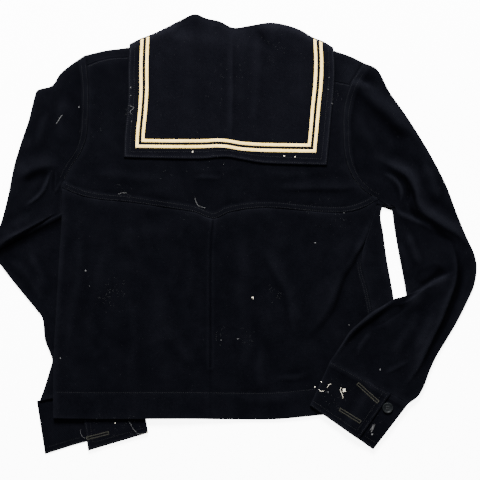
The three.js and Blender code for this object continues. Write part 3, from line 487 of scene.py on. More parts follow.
RIGHT_SLEEVE_CREASES = [
    (3.0, 26, 15, [(158, 211), (172, 208), (190, 197), (204, 186), (218, 174), (234, 158), (248, 146),
        (262, 130)]),
    (-0.6, 12, 14, [(180, 190), (196, 172), (214, 152), (234, 134), (246, 118)]),
    (1.8, 8, 5, [(160, 213), (170, 211), (182, 207), (196, 199)]),
    (4.0, 26, 6, [(186, 108), (204, 104), (216, 98), (232, 89), (246, 78), (254, 62), (258, 44), (265, 31),
                  (278, 22), (297, 10), (315, -1), (329, -15), (338, -27)]),
    (-1.2, 6, 7, [(240, 62), (246, 46), (250, 32), (262, 18), (280, 6), (300, -6), (318, -16)]),
    (2.2, 8, 5, [(220, 42), (232, 29), (246, 22), (262, 16), (278, 6), (292, -2)]),
    (2.4, 5, 6, [(204, 88), (210, 85), (220, 80), (230, 70), (234, 56), (231, 42)]),
    (-1.4, 5, 5, [(226, 90), (238, 78), (243, 64), (242, 50), (238, 40)]),
    (4.8, 5.5, 36, [(296, -2), (304, -18), (309, -36), (309, -56), (305, -74), (300, -88), (293, -106),
        (285, -125),
                  (273, -148), (265, -165), (259, -179), (251, -193), (241, -207), (228, -215)]),
    (-1.0, 8, 6, [(318, -34), (318, -60), (311, -84), (300, -110), (284, -142), (272, -166)]),
    (5.0, 24, 7, [(309, -50), (296, -58), (281, -66), (267, -75), (253, -86), (238, -96), (224, -100)]),
    (-2.0, 9, 16, [(298, -46), (280, -54), (264, -62), (250, -72)]),
    (5.2, 8, 9, [(229, -91), (212, -99), (196, -109), (180, -121), (166, -132), (154, -145), (145, -160),
                 (136, -174)]),
    (-2.0, 9, 9, [(250, -92), (236, -100), (222, -108), (208, -117), (194, -126), (184, -136)]),
    (1.0, 5, 8, [(170, -172), (174, -158), (182, -146), (192, -132)]),
    (1.0, 8, 5, [(206, -196), (218, -190), (232, -183), (246, -174)]),
    (1.8, 12, 14, [(262, 106), (276, 76), (288, 44)]),
    (1.2, 14, 16, [(172, 180), (176, 156), (190, 130), (202, 116)]),
    (1.2, 14, 12, [(256, -104), (246, -130), (228, -154), (212, -170)]),
    (1.1, 12, 14, [(280, -104), (268, -134), (248, -164)]),
    (1.8, 10, 10, [(240, 10), (250, -20), (262, -48)]),
    (1.6, 12, 12, [(226, -4), (236, -34), (246, -64)]),
]
LEFT_SLEEVE_CREASES = [
    (2.2, 3.5, 7, [(-256, 93), (-260, 80), (-264, 68), (-271, 56), (-281, 47), (-296, 38)]),
    (-1.4, 6, 4, [(-252, 92), (-253, 74), (-255, 54)]),
    (1.2, 3, 3.5, [(-251, 90), (-250.5, 76), (-252, 60)]),
    (1.0, 4, 4, [(-242, 78), (-247, 66), (-253, 56)]),
    (2.4, 26, 10, [(-306, 74), (-296, 84), (-284, 92), (-270, 97), (-256, 98), (-242, 97)]),
    (-0.9, 8, 12, [(-298, 70), (-284, 80), (-268, 85), (-254, 85)]),
    (1.4, 20, 16, [(-236, 206), (-240, 176), (-246, 140), (-250, 112)]),
    (1.6, 20, 22, [(-282, 160), (-292, 120), (-304, 80), (-312, 40)]),
    (3.2, 24, 3.4, [(-340, -24), (-328, -15), (-315, -6), (-300, 2), (-286, 10), (-272, 18), (-258, 26),
        (-244, 33)]),
    (-1.6, 3, 5, [(-336, -24), (-322, -15), (-308, -6), (-292, 3), (-274, 13), (-254, 24)]),
    (1.6, 14, 12, [(-322, -32), (-300, -48), (-280, -70), (-268, -96)]),
    (1.1, 12, 12, [(-290, -20), (-276, -50), (-262, -84)]),
    (1.0, 10, 10, [(-262, 176), (-272, 146), (-276, 116)]),
    (1.0, 12, 12, [(-318, 10), (-300, 20), (-280, 30)]),
]
COLLAR_CREASES = [
    (0.8, 3, 12, [(-3, 291), (-4, 250), (-4, 200), (-5, 150), (-6, 112)]),
    (0.7, 12, 16, [(36, 292), (31, 250), (28, 200), (24, 140)]),
    (0.3, 16, 16, [(12, 290), (10, 220), (12, 150)]),
    (0.5, 22, 22, [(-70, 296), (-66, 220), (-60, 140)]),
    (0.3, 20, 20, [(-110, 270), (-104, 200), (-108, 130)]),
    (0.4, 20, 20, [(86, 280), (92, 210), (86, 140)]),
]
CREASE_FADE = 0.34


def crease_height(crease, points):
    height, left, right, path = crease
    knots = trace(curve(path), 3 * len(path))
    reach = max(left, right)
    low, high = knots.min(axis=0) - reach, knots.max(axis=0) + reach
    near = np.all((points > low) & (points < high), axis=-1)
    result = np.zeros(points.shape[:-1])
    chosen = points[near]
    if not len(chosen):
        return result
    nearest = np.full(len(chosen), np.inf)
    along = np.zeros(len(chosen))
    side = np.zeros(len(chosen))
    for index in range(len(knots) - 1):
        distance, share, turn = segment_distance(chosen, knots[index], knots[index + 1])
        closer = distance < nearest
        nearest = np.where(closer, distance, nearest)
        along = np.where(closer, (index + share) / (len(knots) - 1), along)
        side = np.where(closer, turn, side)
    taper = smooth(along, 0, CREASE_FADE) * (1 - smooth(along, 1 - CREASE_FADE, 1))
    width = np.where(side > 0, left, right) * (0.55 + 0.45 * taper)
    result[near] = height * taper * (1 - smooth(nearest, 0, width))
    return result


def creases(table, points):
    return sum(crease_height(crease, points) for crease in table)


def unevenness(points, size, height, seed):
    """Soft waves of the cloth, about size across."""
    flat = points.reshape(-1, 2) / size
    values = [noise.noise((x + seed, y - seed, seed)) for x, y in flat]
    return height * np.array(values).reshape(points.shape[:-1])


def wear(points):
    """The cloth's own waves, the same for all pieces at one place, so that they meet at their seams."""
    return sum(unevenness(points, size, height, seed) for size, height, seed in WEAR_WAVES)


def pressed_line(points, path, depth, width):
    """A narrow line pressed into the cloth along a path."""
    return -depth * (1 - smooth(path_distance(points, path, 27), 0, width))


def path_distance(points, path, count=40):
    knots = trace(path, count)
    nearest = np.full(points.shape[:-1], np.inf)
    for a, b in zip(knots[:-1], knots[1:]):
        nearest = np.minimum(nearest, segment_distance(points, a, b)[0])
    return nearest


def band(distance, width, fall=2.5):
    """1 on a seam's doubled band, and 0 past its width."""
    return 1 - smooth(distance, width, width + fall)


def back_relief(points):
    ridges = np.maximum(0, creases(BODY_CREASES, points) + creases(YOKE_CREASES, points))
    beside_forearm = smooth(outside_distance(OUTLINES["right_forearm"], points), 10, 40)
    below_collar = 1 - smooth(points[..., 1], 84, 104)
    return ridges * beside_forearm * below_collar


def back_level(points):
    return rest_level(points) + LAYER + back_relief(points)


# Walls: grids of outer and inner skin points
def with_height(points, height):
    return np.concatenate([points, height[..., None]], axis=-1)


def unit(vectors):
    return vectors / np.maximum(np.linalg.norm(vectors, axis=-1, keepdims=True), 1e-9)


def edge_drop(distance, radius):
    inside = np.clip(radius - distance, 0, radius)
    return radius - np.sqrt(np.maximum(radius**2 - inside**2, 0))


def border_distance(grid, side):
    """Each point's distance along its row or column from one border of the grid."""
    axis = 1 if side in ("left", "right") else 0
    steps = np.linalg.norm(np.diff(grid, axis=axis), axis=-1)
    pad = [(0, 0), (0, 0)]
    pad[axis] = (1, 0)
    from_start = np.pad(np.cumsum(steps, axis=axis), pad)
    if side in ("left", "bottom"):
        return from_start
    return np.take(from_start, [-1], axis=axis) - from_start


def up_wall(grid, level, detail=0, free=(), thickness=CLOTH, lift=0):
    """A layer that faces up, with round free borders. A lift raises the whole wall, for a lap."""
    drop = 0
    for side in free:
        drop = np.maximum(drop, edge_drop(border_distance(grid, side), thickness / 2))
    low = level + lift
    return with_height(grid, low + thickness + detail - drop), with_height(grid, low + drop)


def down_wall(grid, level):
    return with_height(grid, level + 0.0), with_height(grid, level + CLOTH)


def fold_edge(edge, inside, radius=FOLD_RADIUS):
    """Where a layer ends before the fold at its edge, and the fold's outward direction."""
    near = edge + radius * unit(inside - edge)
    return near, unit(edge - near)


def fold_arc(low_edge, outward, low, high_top, radius):
    """Wall points round a fold, from the lower layer's edge point to the one above it."""
    angles = np.linspace(-90, 90, ARC_STEPS + 2)[1:-1] * math.pi / 180
    middle = (low + high_top) / 2
    half = (high_top - low) / 2
    skins = []
    for inset in (0, CLOTH):
        across = np.maximum(radius - inset, 0.15)
        rise = np.maximum(half - inset, 0.1)
        out = np.asarray(across)[..., None, None] * np.cos(angles)[:, None] * outward[..., None, :]
        height = middle[..., None] + rise[..., None] * np.sin(angles)
        skins.append(with_height(low_edge[..., None, :] + out, height))
    return tuple(skins)


def stack(*walls):
    """Walls side by side, as one grid of outer and inner points."""
    return tuple(np.concatenate([wall[skin] for wall in walls], axis=1) for skin in (0, 1))


def reverse(wall):
    return tuple(skin[:, ::-1] for skin in wall)


def turned(wall):
    return tuple(np.swapaxes(skin, 0, 1) for skin in wall)


def wall_mesh(grids):
    """Vertices and triangles of a closed wall; grids that share points are joined there."""
    pairs = np.concatenate([
        np.concatenate([outer.reshape(-1, 3), inner.reshape(-1, 3)], axis=1) for outer, inner in grids
    ])
    keys = np.round(pairs * 1000).astype(np.int64)
    _, first, index = np.unique(keys, axis=0, return_index=True, return_inverse=True)
    index = index.reshape(-1)
    triangles = []
    start = 0
    for outer, _ in grids:
        rows, columns = outer.shape[:2]
        ids = index[start:start + rows * columns].reshape(rows, columns)
        start += rows * columns
        a, b, c, d = ids[:-1, :-1], ids[:-1, 1:], ids[1:, 1:], ids[1:, :-1]
        triangles += [np.stack(corners, axis=-1).reshape(-1, 3) for corners in ((a, b, c), (a, c, d))]
    outer = np.concatenate(triangles)
    outer = outer[(outer[:, 0] != outer[:, 1]) & (outer[:, 1] != outer[:, 2]) & (outer[:, 2] != outer[:, 0])]
    count = len(first)
    starts, ends = outer.reshape(-1), np.roll(outer, -1, axis=1).reshape(-1)
    border = ~np.isin(starts * count + ends, ends * count + starts)
    starts, ends = starts[border], ends[border]
    inner = outer[:, ::-1] + count
    sides = np.concatenate([
        np.stack([ends, starts, starts + count], axis=-1),
        np.stack([ends, starts + count, ends + count], axis=-1),
    ])
    vertices = np.concatenate([pairs[first, :3], pairs[first, 3:]])
    faces = np.concatenate([outer, inner, sides])
    corners = vertices[faces]
    volume = np.einsum("ij,ij->i", corners[:, 0], np.cross(corners[:, 1], corners[:, 2])).sum()
    return vertices, faces if volume > 0 else faces[:, ::-1]


def wear_and_shade_tone(vertices, faces):
    """How far each vertex stands out of its surroundings, from -1 in a hollow to 1 on a ridge: the wool's
    painted shade in hollows, and its wear with painted highlight on ridges.
    """
    starts = faces.reshape(-1)
    ends = np.roll(faces, -1, axis=1).reshape(-1)
    count = len(vertices)
    weight = np.bincount(starts, minlength=count) + np.bincount(ends, minlength=count)
    height = vertices[:, 2]
    blurred = height.copy()
    for _ in range(TONE_BLUR):
        total = np.bincount(starts, blurred[ends], count) + np.bincount(ends, blurred[starts], count)
        blurred = total / np.maximum(weight, 1)
    return np.clip((height - blurred) / TONE_RANGE, -1, 1)


def add_object(name, vertices, faces, material, shade_smooth=True):
    faces = faces.tolist() if isinstance(faces, np.ndarray) else faces
    mesh = bpy.data.meshes.new(name)
    mesh.from_pydata((np.asarray(vertices) * MM).tolist(), [], faces)
    mesh.materials.append(material)
    if shade_smooth:
        mesh.shade_smooth()
    piece = bpy.data.objects.new(name, mesh)
    bpy.context.scene.collection.objects.link(piece)
    return piece


# Materials
def principled(name, **values):
    """A new material with its node tree, its shader, and the place on the object for its patterns."""
    material = bpy.data.materials.new(name)
    material.use_nodes = True
    tree = material.node_tree
    shader = tree.nodes["Principled BSDF"]
    for key, value in values.items():
        shader.inputs[key].default_value = value
    return material, tree, shader, add_node(tree, "ShaderNodeTexCoord").outputs["Object"]


def add_node(tree, kind, inputs=(), **settings):
    node = tree.nodes.new(kind)
    for key, value in settings.items():
        setattr(node, key, value)
    for key, value in dict(inputs).items():
        if isinstance(value, bpy.types.NodeSocket):
            tree.links.new(value, node.inputs[key])
        else:
            node.inputs[key].default_value = value
    return node


def noise_value(tree, where, scale, detail=3.0, roughness=0.55):
    inputs = {"Vector": where, "Scale": scale, "Detail": detail, "Roughness": roughness}
    return add_node(tree, "ShaderNodeTexNoise", inputs).outputs["Fac"]


def ramp(tree, value, stops):
    node = add_node(tree, "ShaderNodeValToRGB", {"Fac": value})
    elements = node.color_ramp.elements
    while len(elements) < len(stops):
        elements.new(0.5)
    for element, (place, colour) in zip(elements, stops):
        element.position = place
        element.color = (*colour, 1)
    return node.outputs["Color"]


def mixed(tree, share, a, b, blend="MIX"):
    node = add_node(tree, "ShaderNodeMix", {"Factor": share}, data_type="RGBA", blend_type=blend)
    for socket, value in ((node.inputs[6], a), (node.inputs[7], b)):
        if isinstance(value, bpy.types.NodeSocket):
            tree.links.new(value, socket)
        else:
            socket.default_value = (*value, 1)
    return node.outputs[2]


def wool_material(name, dark, light, fibre):
    """Napped navy wool: soft patches, ridges lightened as wear and painted highlight, painted shade in
    hollows, a fine twill, and pale fibres that stand in the nap.
    """
    material, tree, shader, where = principled(name, Roughness=0.9, **{
        "Specular IOR Level": 0.0,
        "Sheen Weight": 0.002,
        "Sheen Roughness": 0.5,
        "Sheen Tint": (0.9, 0.92, 1, 1),
    })
    patches = noise_value(tree, where, 24, 5, 0.62)
    nap = noise_value(tree, where, 950, 2, 0.7)
    base = ramp(tree, patches, [(0.32, dark), (0.70, light)])
    grain = ramp(tree, nap, [(0.3, (0.66, 0.66, 0.68)), (0.7, (1.36, 1.36, 1.33))])
    toned = mixed(tree, 1.0, base, grain, "MULTIPLY")
    # Painted shade in hollows (down to 0.35) and ridges lightened up to 2.1 as wear and painted highlight,
    # from the nap attribute
    height = add_node(tree, "ShaderNodeAttribute", attribute_name="nap").outputs["Fac"]
    stand = add_node(tree, "ShaderNodeMapRange", {"Value": height, "From Min": -1.0, "From Max": 1.0})
    wear_and_shade_stops = [(0.0, (0.35, 0.35, 0.36)), (0.5, (1, 1, 1)), (1.0, (2.1, 2.1, 2.0))]
    wear_and_shade = ramp(tree, stand.outputs["Result"], wear_and_shade_stops)
    toned = mixed(tree, 1.0, toned, wear_and_shade, "MULTIPLY")
    specks = ramp(tree, noise_value(tree, where, 560, 1, 0.4), [(0.76, (0, 0, 0)), (0.82, (1, 1, 1))])
    tree.links.new(mixed(tree, specks, toned, fibre), shader.inputs["Base Color"])
    twill = add_node(tree, "ShaderNodeTexWave", {
        "Vector": where, "Scale": 190.0, "Distortion": 1.6, "Detail": 2.0, "Detail Scale": 1.5,
    }, wave_type="BANDS", bands_direction="DIAGONAL")
    relief = add_node(tree, "ShaderNodeMath", {0: twill.outputs["Fac"], 1: nap}, operation="ADD")
    bump = add_node(tree, "ShaderNodeBump", {
        "Height": relief.outputs[0], "Strength": 0.35, "Distance": 0.0004,
    })
    tree.links.new(bump.outputs["Normal"], shader.inputs["Normal"])
    return material


def tape_material(name):
    """Woven cream tape with cross ribs, a little soiled."""
    material, tree, shader, where = principled(name, Roughness=0.85, **{
        "Specular IOR Level": 0.2, "Sheen Weight": 0.1, "Sheen Tint": (1, 0.95, 0.85, 1),
    })
    soil = noise_value(tree, where, 60, 4)
    weave = noise_value(tree, where, 1500, 1)
    base = ramp(tree, soil, [(0.3, (0.50, 0.345, 0.095)), (0.65, (0.62, 0.445, 0.14))])
    grain = ramp(tree, weave, [(0.3, (0.86, 0.84, 0.80)), (0.7, (1.06, 1.06, 1.06))])
    tree.links.new(mixed(tree, 1.0, base, grain, "MULTIPLY"), shader.inputs["Base Color"])
    bump = add_node(tree, "ShaderNodeBump", {"Height": weave, "Strength": 0.4, "Distance": 0.0003})
    tree.links.new(bump.outputs["Normal"], shader.inputs["Normal"])
    return material


def thread_material(name, dark, light):
    material, tree, shader, where = principled(name, Roughness=0.8, **{"Specular IOR Level": 0.2})
    colour = ramp(tree, noise_value(tree, where, 700, 2), [(0.35, dark), (0.65, light)])
    tree.links.new(colour, shader.inputs["Base Color"])
    return material


def button_material(name):
    material, tree, shader, where = principled(name, Roughness=0.42, **{"Specular IOR Level": 0.05})
    cloudy = noise_value(tree, where, 240, 4)
    colour = ramp(tree, cloudy, [(0.35, (0.0008, 0.0010, 0.0012)), (0.7, (0.0028, 0.0035, 0.0038))])
    tree.links.new(colour, shader.inputs["Base Color"])
    rough = add_node(tree, "ShaderNodeMapRange", {
        "Value": noise_value(tree, where, 900, 3), "To Min": 0.34, "To Max": 0.6,
    })
    tree.links.new(rough.outputs["Result"], shader.inputs["Roughness"])
    return material


def floor_material(name):
    material, tree, shader, where = principled(name, Roughness=0.75, **{
        "Specular IOR Level": 0.25, "Emission Color": (1, 1, 1, 1), "Emission Strength": FLOOR_GLOW,
    })
    stops = [(0.3, (0.80, 0.80, 0.80)), (0.7, (0.83, 0.83, 0.825))]
    tone = ramp(tree, noise_value(tree, where, 2.5, 2), stops)
    tree.links.new(tone, shader.inputs["Base Color"])
    return material


WOOL = wool_material(
    "navy_wool", (0.0007, 0.00074, 0.00113), (0.00108, 0.00113, 0.00168), (0.005, 0.005, 0.006))
COLLAR_WOOL = wool_material(
    "collar_wool", (0.00105, 0.00108, 0.00165), (0.0014, 0.00143, 0.00212), (0.007, 0.007, 0.008))
CREAM = tape_material("cream_tape")
NAVY_THREAD = thread_material("navy_thread", (0.0011, 0.0012, 0.0017), (0.0026, 0.0028, 0.0038))
COLLAR_THREAD = thread_material("collar_thread", (0.0025, 0.0026, 0.0036), (0.0060, 0.0064, 0.0080))
OLIVE_THREAD = thread_material("olive_thread", (0.0024, 0.0023, 0.0012), (0.0090, 0.0085, 0.0042))
PALE_THREAD = thread_material("pale_thread", (0.34, 0.31, 0.25), (0.66, 0.61, 0.50))
GREY_LINT = thread_material("grey_lint", (0.030, 0.030, 0.031), (0.085, 0.085, 0.086))
TUFT_THREAD = thread_material("tuft_thread", (0.014, 0.014, 0.0145), (0.050, 0.050, 0.051))
NAP_DUST = thread_material("nap_dust", (0.0028, 0.003, 0.004), (0.0075, 0.008, 0.0092))
DARK_BUTTON = button_material("dark_button")
HOLE_SHADE = thread_material("hole_shade", (0.001, 0.001, 0.001), (0.002, 0.002, 0.002))


# Cloth pieces
def cloth_piece(name, grids, material, node):
    vertices, faces = wall_mesh(grids)
    piece = add_object(name, vertices, faces, material)
    # The nap attribute: painted shade in hollows, and wear with painted highlight on ridges, for the wool's
    # colour
    tone = piece.data.attributes.new("nap", "FLOAT", "POINT")
    tone.data.foreach_set("value", wear_and_shade_tone(vertices, faces))
    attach(piece, "root")
    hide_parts(node)
    CLOTH_MESHES[name] = (vertices, faces)
    return piece


CLOTH_MESHES = {}
EDGE_MARGIN = 3.2


def rolled(lower, edge, upper):
    """A downward layer, the fold at its right-hand edge, and the upward layer above it."""
    near = lower[:, -1]
    lower_level, upper_level = rest_level(lower), back_level(upper)
    detail = wear(upper)
    top = (upper_level + CLOTH + detail)[:, 0]
    arc = fold_arc(near, unit(edge - near), lower_level[:, -1], top, FOLD_RADIUS)
    return stack(down_wall(lower, lower_level), arc, up_wall(upper, upper_level, detail))


def strip_points(near, seam_points, size=CELL):
    """Plan points from a fold's edge across the other layer to a seam."""
    width = np.linalg.norm(seam_points - near, axis=-1).mean()
    shares = np.linspace(0, 1, cells(width, size) + 1)[None, :, None]
    return near[:, None] + (seam_points - near)[:, None] * shares


def front_piece():
    chest_left = line(ARMPIT["left"], V_POINT)
    chest_right = line(V_POINT, ARMHOLE["right"](0))
    at = patch(FRONT_HEM, joined(chest_left, chest_right), LEFT_SIDE_SEAM, BODY_RIGHT)
    rows = spread(SIDE_LENGTH, 2 * CELL)
    columns = np.append(np.linspace(0, 1, FRONT_COLUMNS + 1)[:-1], 1 - EDGE_MARGIN / BODY_WIDTH)
    grid = plan_grid(at, columns, rows)
    edge = at(np.ones_like(rows), rows)
    grid[:, -1], _ = fold_edge(edge, grid[:, -2])
    upper = strip_points(grid[:, -1], RIGHT_SIDE_SEAM(rows))
    side = rolled(grid, edge, upper)
    left = shoulder_part(
        patch(chest_left, LEFT_SHOULDER, between(ARMHOLE["left"], ARMPIT_ROLL, 1),
              line(V_POINT, LEFT_SHOULDER(1))),
        between(YOKE_TOP, 0, SHOULDER_SHARE))
    right = shoulder_part(
        patch(chest_right, RIGHT_SHOULDER, line(V_POINT, RIGHT_SHOULDER(0)), ARMHOLE["right"]),
        between(YOKE_TOP, 1 - SHOULDER_SHARE, 1))
    return cloth_piece("front_cloth", [side, left, right], WOOL, "front")


def shoulder_part(at, seam):
    """One half of the upper front, with its roll over the shoulder to the yoke's seam."""
    columns = np.linspace(0, 1, SHOULDER_COLUMNS + 1)
    grid = plan_grid(at, columns, np.linspace(0, 1, SHOULDER_ROWS))
    edge = grid[-1].copy()
    grid[-1], _ = fold_edge(edge, grid[-2])
    lower = np.swapaxes(grid, 0, 1)
    upper = strip_points(grid[-1], seam(columns))
    return turned(rolled(lower, edge, upper))


def back_detail(points):
    """The pressed centre line, the hem and its stitched line, and a little wear."""
    centre = curve([(-30, 20), (-33, -8), (-34, -36), (-34, -120), (-34, -150), (-34, -185)])
    faint = curve([(-34, -185), (-34, -222), (-34, -256)])
    hem_distance = path_distance(points, BACK_HEM)
    hem = HEM["height"] * band(hem_distance, HEM_DEPTH, 1.6)
    hem_line = -HEM["stitched_in"] * (1 - smooth(abs(hem_distance - HEM_DEPTH), 0, 1.8))
    pressed = pressed_line(points, centre, 1.0, 2.6) + pressed_line(points, faint, 0.4, 2.4)
    raised = 0.5 * (1 - smooth(path_distance(points, centre), 2, 8))
    return hem + hem_line + pressed + raised + wear(points)


def back_piece():
    at = patch(BACK_HEM, YOKE_SEAM, BODY_LEFT, RIGHT_SIDE_SEAM)
    rows = spread(BACK_HEIGHT, start=EDGE_STEPS)
    columns = spread(BODY_WIDTH, start=(EDGE_MARGIN,), end=EDGE_STEPS)
    grid = plan_grid(at, columns, rows)
    edge = at(np.zeros_like(rows), rows)
    near, outward = fold_edge(edge, grid[:, 1])
    grid[:, 0] = near
    side_band = band(border_distance(grid, "right"), BAND["side"])
    side_band = side_band * (1 - smooth(grid[..., 1], *SIDE_BAND_END))
    top = up_wall(grid, back_level(grid), back_detail(grid), ("right", "bottom"), lift=SIDE_LAP * side_band)
    under = strip_points(near, LEFT_SIDE_SEAM(rows), 2 * CELL)
    under_level = rest_level(under)
    arc = fold_arc(near, outward, under_level[:, 0], top[0][:, 0, 2], FOLD_RADIUS)
    whole = stack(reverse(down_wall(under, under_level)), arc, top)
    return cloth_piece("back_cloth", [whole], WOOL, "back_lower")


def yoke_piece():
    left = between(ARMHOLE["left"], 0, SHOULDER_SEAM["left"])
    right = between(ARMHOLE["right"], ARMPIT_ROLL, SHOULDER_SEAM["right"])
    at = patch(YOKE_SEAM, YOKE_TOP, left, right)
    grid = plan_grid(at, spread(YOKE_SIZE["width"]), spread(YOKE_SIZE["depth"], start=EDGE_STEPS))
    distance = border_distance(grid, "bottom")
    detail = wear(grid) * smooth(distance, 0, 10)
    lift = LAP * band(distance, BAND["yoke"])
    wall = up_wall(grid, back_level(grid), detail, ("bottom",), lift=lift)
    return cloth_piece("yoke_cloth", [wall], WOOL, "back_yoke")


# Collar
COLLAR_PATCH = patch(COLLAR_BOTTOM, COLLAR_TOP, COLLAR_LEFT, COLLAR_RIGHT)
COLLAR_COLUMNS = 136
LAPEL_COLUMNS = 34
LAPEL_ROWS = 24
LAPEL_SHARE = LAPEL_COLUMNS / COLLAR_COLUMNS
COLLAR_TURN = 0.972
COLLAR_BORDERS = ("left", "right", "bottom")
NECK_TURN = (0.6, 0.25)
COLLAR_THICKNESS = 1.9


def collar_level(points):
    flat = LAYER + (rest_level(points) + LAYER) * over("neck", points)
    return flat + np.maximum(0, creases(COLLAR_CREASES, points))


def collar_border(grid):
    return np.minimum.reduce([border_distance(grid, side) for side in COLLAR_BORDERS])


def lapel_grid(side, start, end, rows):
    lapel = LAPELS[side]
    a, b = (np.array(point, float) for point in lapel["end"])
    neck_point = COLLAR_TOP(end if side == "left" else start)
    inner = curve([neck_point, lapel["throat"], b if side == "left" else a])
    edges = [backwards(curve(lapel["outer"])), backwards(inner)]
    left, right = edges if side == "left" else edges[::-1]
    at = patch(line(a, b), between(COLLAR_TOP, start, end), left, right)
    return plan_grid(at, np.linspace(0, 1, LAPEL_COLUMNS + 1), rows)


def collar_piece():
    columns = np.linspace(0, 1, COLLAR_COLUMNS + 1)
    rows = spread(COLLAR_SIZE["depth"], start=EDGE_STEPS)
    flap = plan_grid(COLLAR_PATCH, columns, rows[rows < COLLAR_TURN])
    top = COLLAR_PATCH(columns, np.ones_like(columns))
    radius = (collar_level(top[None])[0] + COLLAR_THICKNESS) / 2
    near, outward = fold_edge(top, flap[-1], radius[:, None])
    flap = np.concatenate([flap, near[None]])
    detail = COLLAR_HEM * band(collar_border(flap), 3.2, 1.2) + wear(flap) * COLLAR_WEAR
    wall = up_wall(flap, collar_level(flap), detail, COLLAR_BORDERS, COLLAR_THICKNESS)
    arc = fold_arc(near, outward, np.zeros(len(near)), wall[0][-1, :, 2], radius)
    under = down_wall(near[None], np.zeros((1, len(near))))
    whole = tuple(np.concatenate([w, np.swapaxes(a, 0, 1)[::-1], u]) for w, a, u in zip(wall, arc, under))
    heights = np.linspace(1, 0, LAPEL_ROWS + 1)
    left = lapel_grid("left", 0, LAPEL_SHARE, heights)
    right = lapel_grid("right", 1 - LAPEL_SHARE, 1, heights)
    last = COLLAR_COLUMNS - LAPEL_COLUMNS
    lower_parts = [
        (0, LAPEL_COLUMNS, left[1:]),
        (LAPEL_COLUMNS, last, neck_turn(left, right)),
        (last, COLLAR_COLUMNS, right[1:]),
    ]
    walls = [whole]
    for first, end, grid in lower_parts:
        plan = np.concatenate([near[None, first:end + 1], grid])
        walls.append(down_wall(plan, np.zeros(plan.shape[:-1])))
    return cloth_piece("collar_cloth", walls, COLLAR_WOOL, "collar")


def neck_turn(left, right):
    across = np.linspace(0, 1, COLLAR_COLUMNS - 2 * LAPEL_COLUMNS + 1)
    arc = between(COLLAR_TOP, LAPEL_SHARE, 1 - LAPEL_SHARE)
    bulge = arc(across) - line(arc(0), arc(1))(across)
    rows = []
    for index, arch in enumerate(NECK_TURN):
        place = 2 * (index + 1)
        rows.append(line(left[place, -1], right[place, 0])(across) + arch * bulge)
    return np.array(rows)


def tape_bottom(u, inset):
    """The share of the flap's depth where one line of a tape runs along the bottom."""
    border = TAPE_BORDER["bottom_left"] * (1 - u) + TAPE_BORDER["bottom_right"] * u
    border = border - TAPE_DIP["depth"] * np.exp(-(((u - TAPE_DIP["place"]) / TAPE_DIP["width"]) ** 2))
    side = np.linalg.norm(COLLAR_PATCH(u, np.ones_like(u)) - COLLAR_PATCH(u, np.zeros_like(u)), axis=-1)
    return (border + inset) / side


def tape_piece(name, node, shift):
    """A tape on the flap: down one side, along the bottom and up the other side, with mitred corners."""
    width, depth = COLLAR_SIZE["width"], COLLAR_SIZE["depth"]
    end = 1 - TAPE["top_gap"] / depth
    rows = []
    for inset in shift + np.linspace(0, TAPE["width"], TAPE_LINES):
        first = (TAPE_BORDER["left"] + inset) / width
        last = 1 - (TAPE_BORDER["right"] + inset) / width
        low_first, low_last = tape_bottom(np.array([first, last]), inset)
        across = np.linspace(first, last, TAPE_STEPS["bottom"])
        left = COLLAR_PATCH(first, np.linspace(end, low_first, TAPE_STEPS["side"]))
        right = COLLAR_PATCH(last, np.linspace(low_last, end, TAPE_STEPS["side"]))
        middle = COLLAR_PATCH(across, tape_bottom(across, inset))
        rows.append(np.concatenate([left, middle[1:-1], right]))
    grid = np.array(rows)
    level = collar_level(grid) + COLLAR_THICKNESS + wear(grid) * COLLAR_WEAR
    wall = up_wall(grid, level, free=("bottom", "top"), thickness=TAPE["thickness"])
    return cloth_piece(name, [wall], CREAM, node)


# Sleeves
def armhole_lift(distance):
    """The doubled band along the armhole, with a round edge that laps the body."""
    return ARMHOLE_STEP * band(distance, BAND["armhole"]) - edge_drop(distance, CLOTH / 2)


def sleeve_rings(grid, low, table, lift=0, lap=0):
    """Flattened tube: lower layer, outer fold, upper layer and inner fold of each ring."""
    first, last = grid[:, 0].copy(), grid[:, -1].copy()
    near_inner, inward = fold_edge(first, grid[:, 1])
    near_outer, outward = fold_edge(last, grid[:, -2])
    flat = grid.copy()
    flat[:, 0], flat[:, -1] = near_inner, near_outer
    below = flat[:, ::LOWER_STEP]
    lower = down_wall(below, low(below))
    ground = low(flat)
    high = ground + LAYER + np.maximum(DEEPEST_CREASE, creases(table, flat)) + lift
    lapped = flat.copy()
    lapped[0] += lap * unit(flat[0] - flat[len(EDGE_STEPS)])
    upper = up_wall(lapped, high, wear(flat))
    arc_outer = fold_arc(near_outer, outward, ground[:, -1], upper[0][:, -1, 2], FOLD_RADIUS)
    arc_inner = fold_arc(near_inner, inward, ground[:, 0], upper[0][:, 0, 2], FOLD_RADIUS)
    closing = tuple(skin[:, :1] for skin in lower)
    return stack(lower, arc_outer, reverse(upper), reverse(arc_inner), closing)


def keep_inside(grid, edge, below):
    """Moves points that a sharp turn of the inner edge leaves outside it back inside, in their order."""
    knots = trace(edge, 120)
    knots = knots[knots[:, 1] < below + 2][::-1]
    rest = grid[:, 1:]
    nearest = np.interp(rest[..., 1], knots[:, 1], knots[:, 0]) + FOLD_RADIUS
    nearest = nearest + COLUMN_ROOM * np.arange(1, rest.shape[1] + 1)
    rest[..., 0] = np.where(rest[..., 1] < below, np.maximum(rest[..., 0], nearest), rest[..., 0])


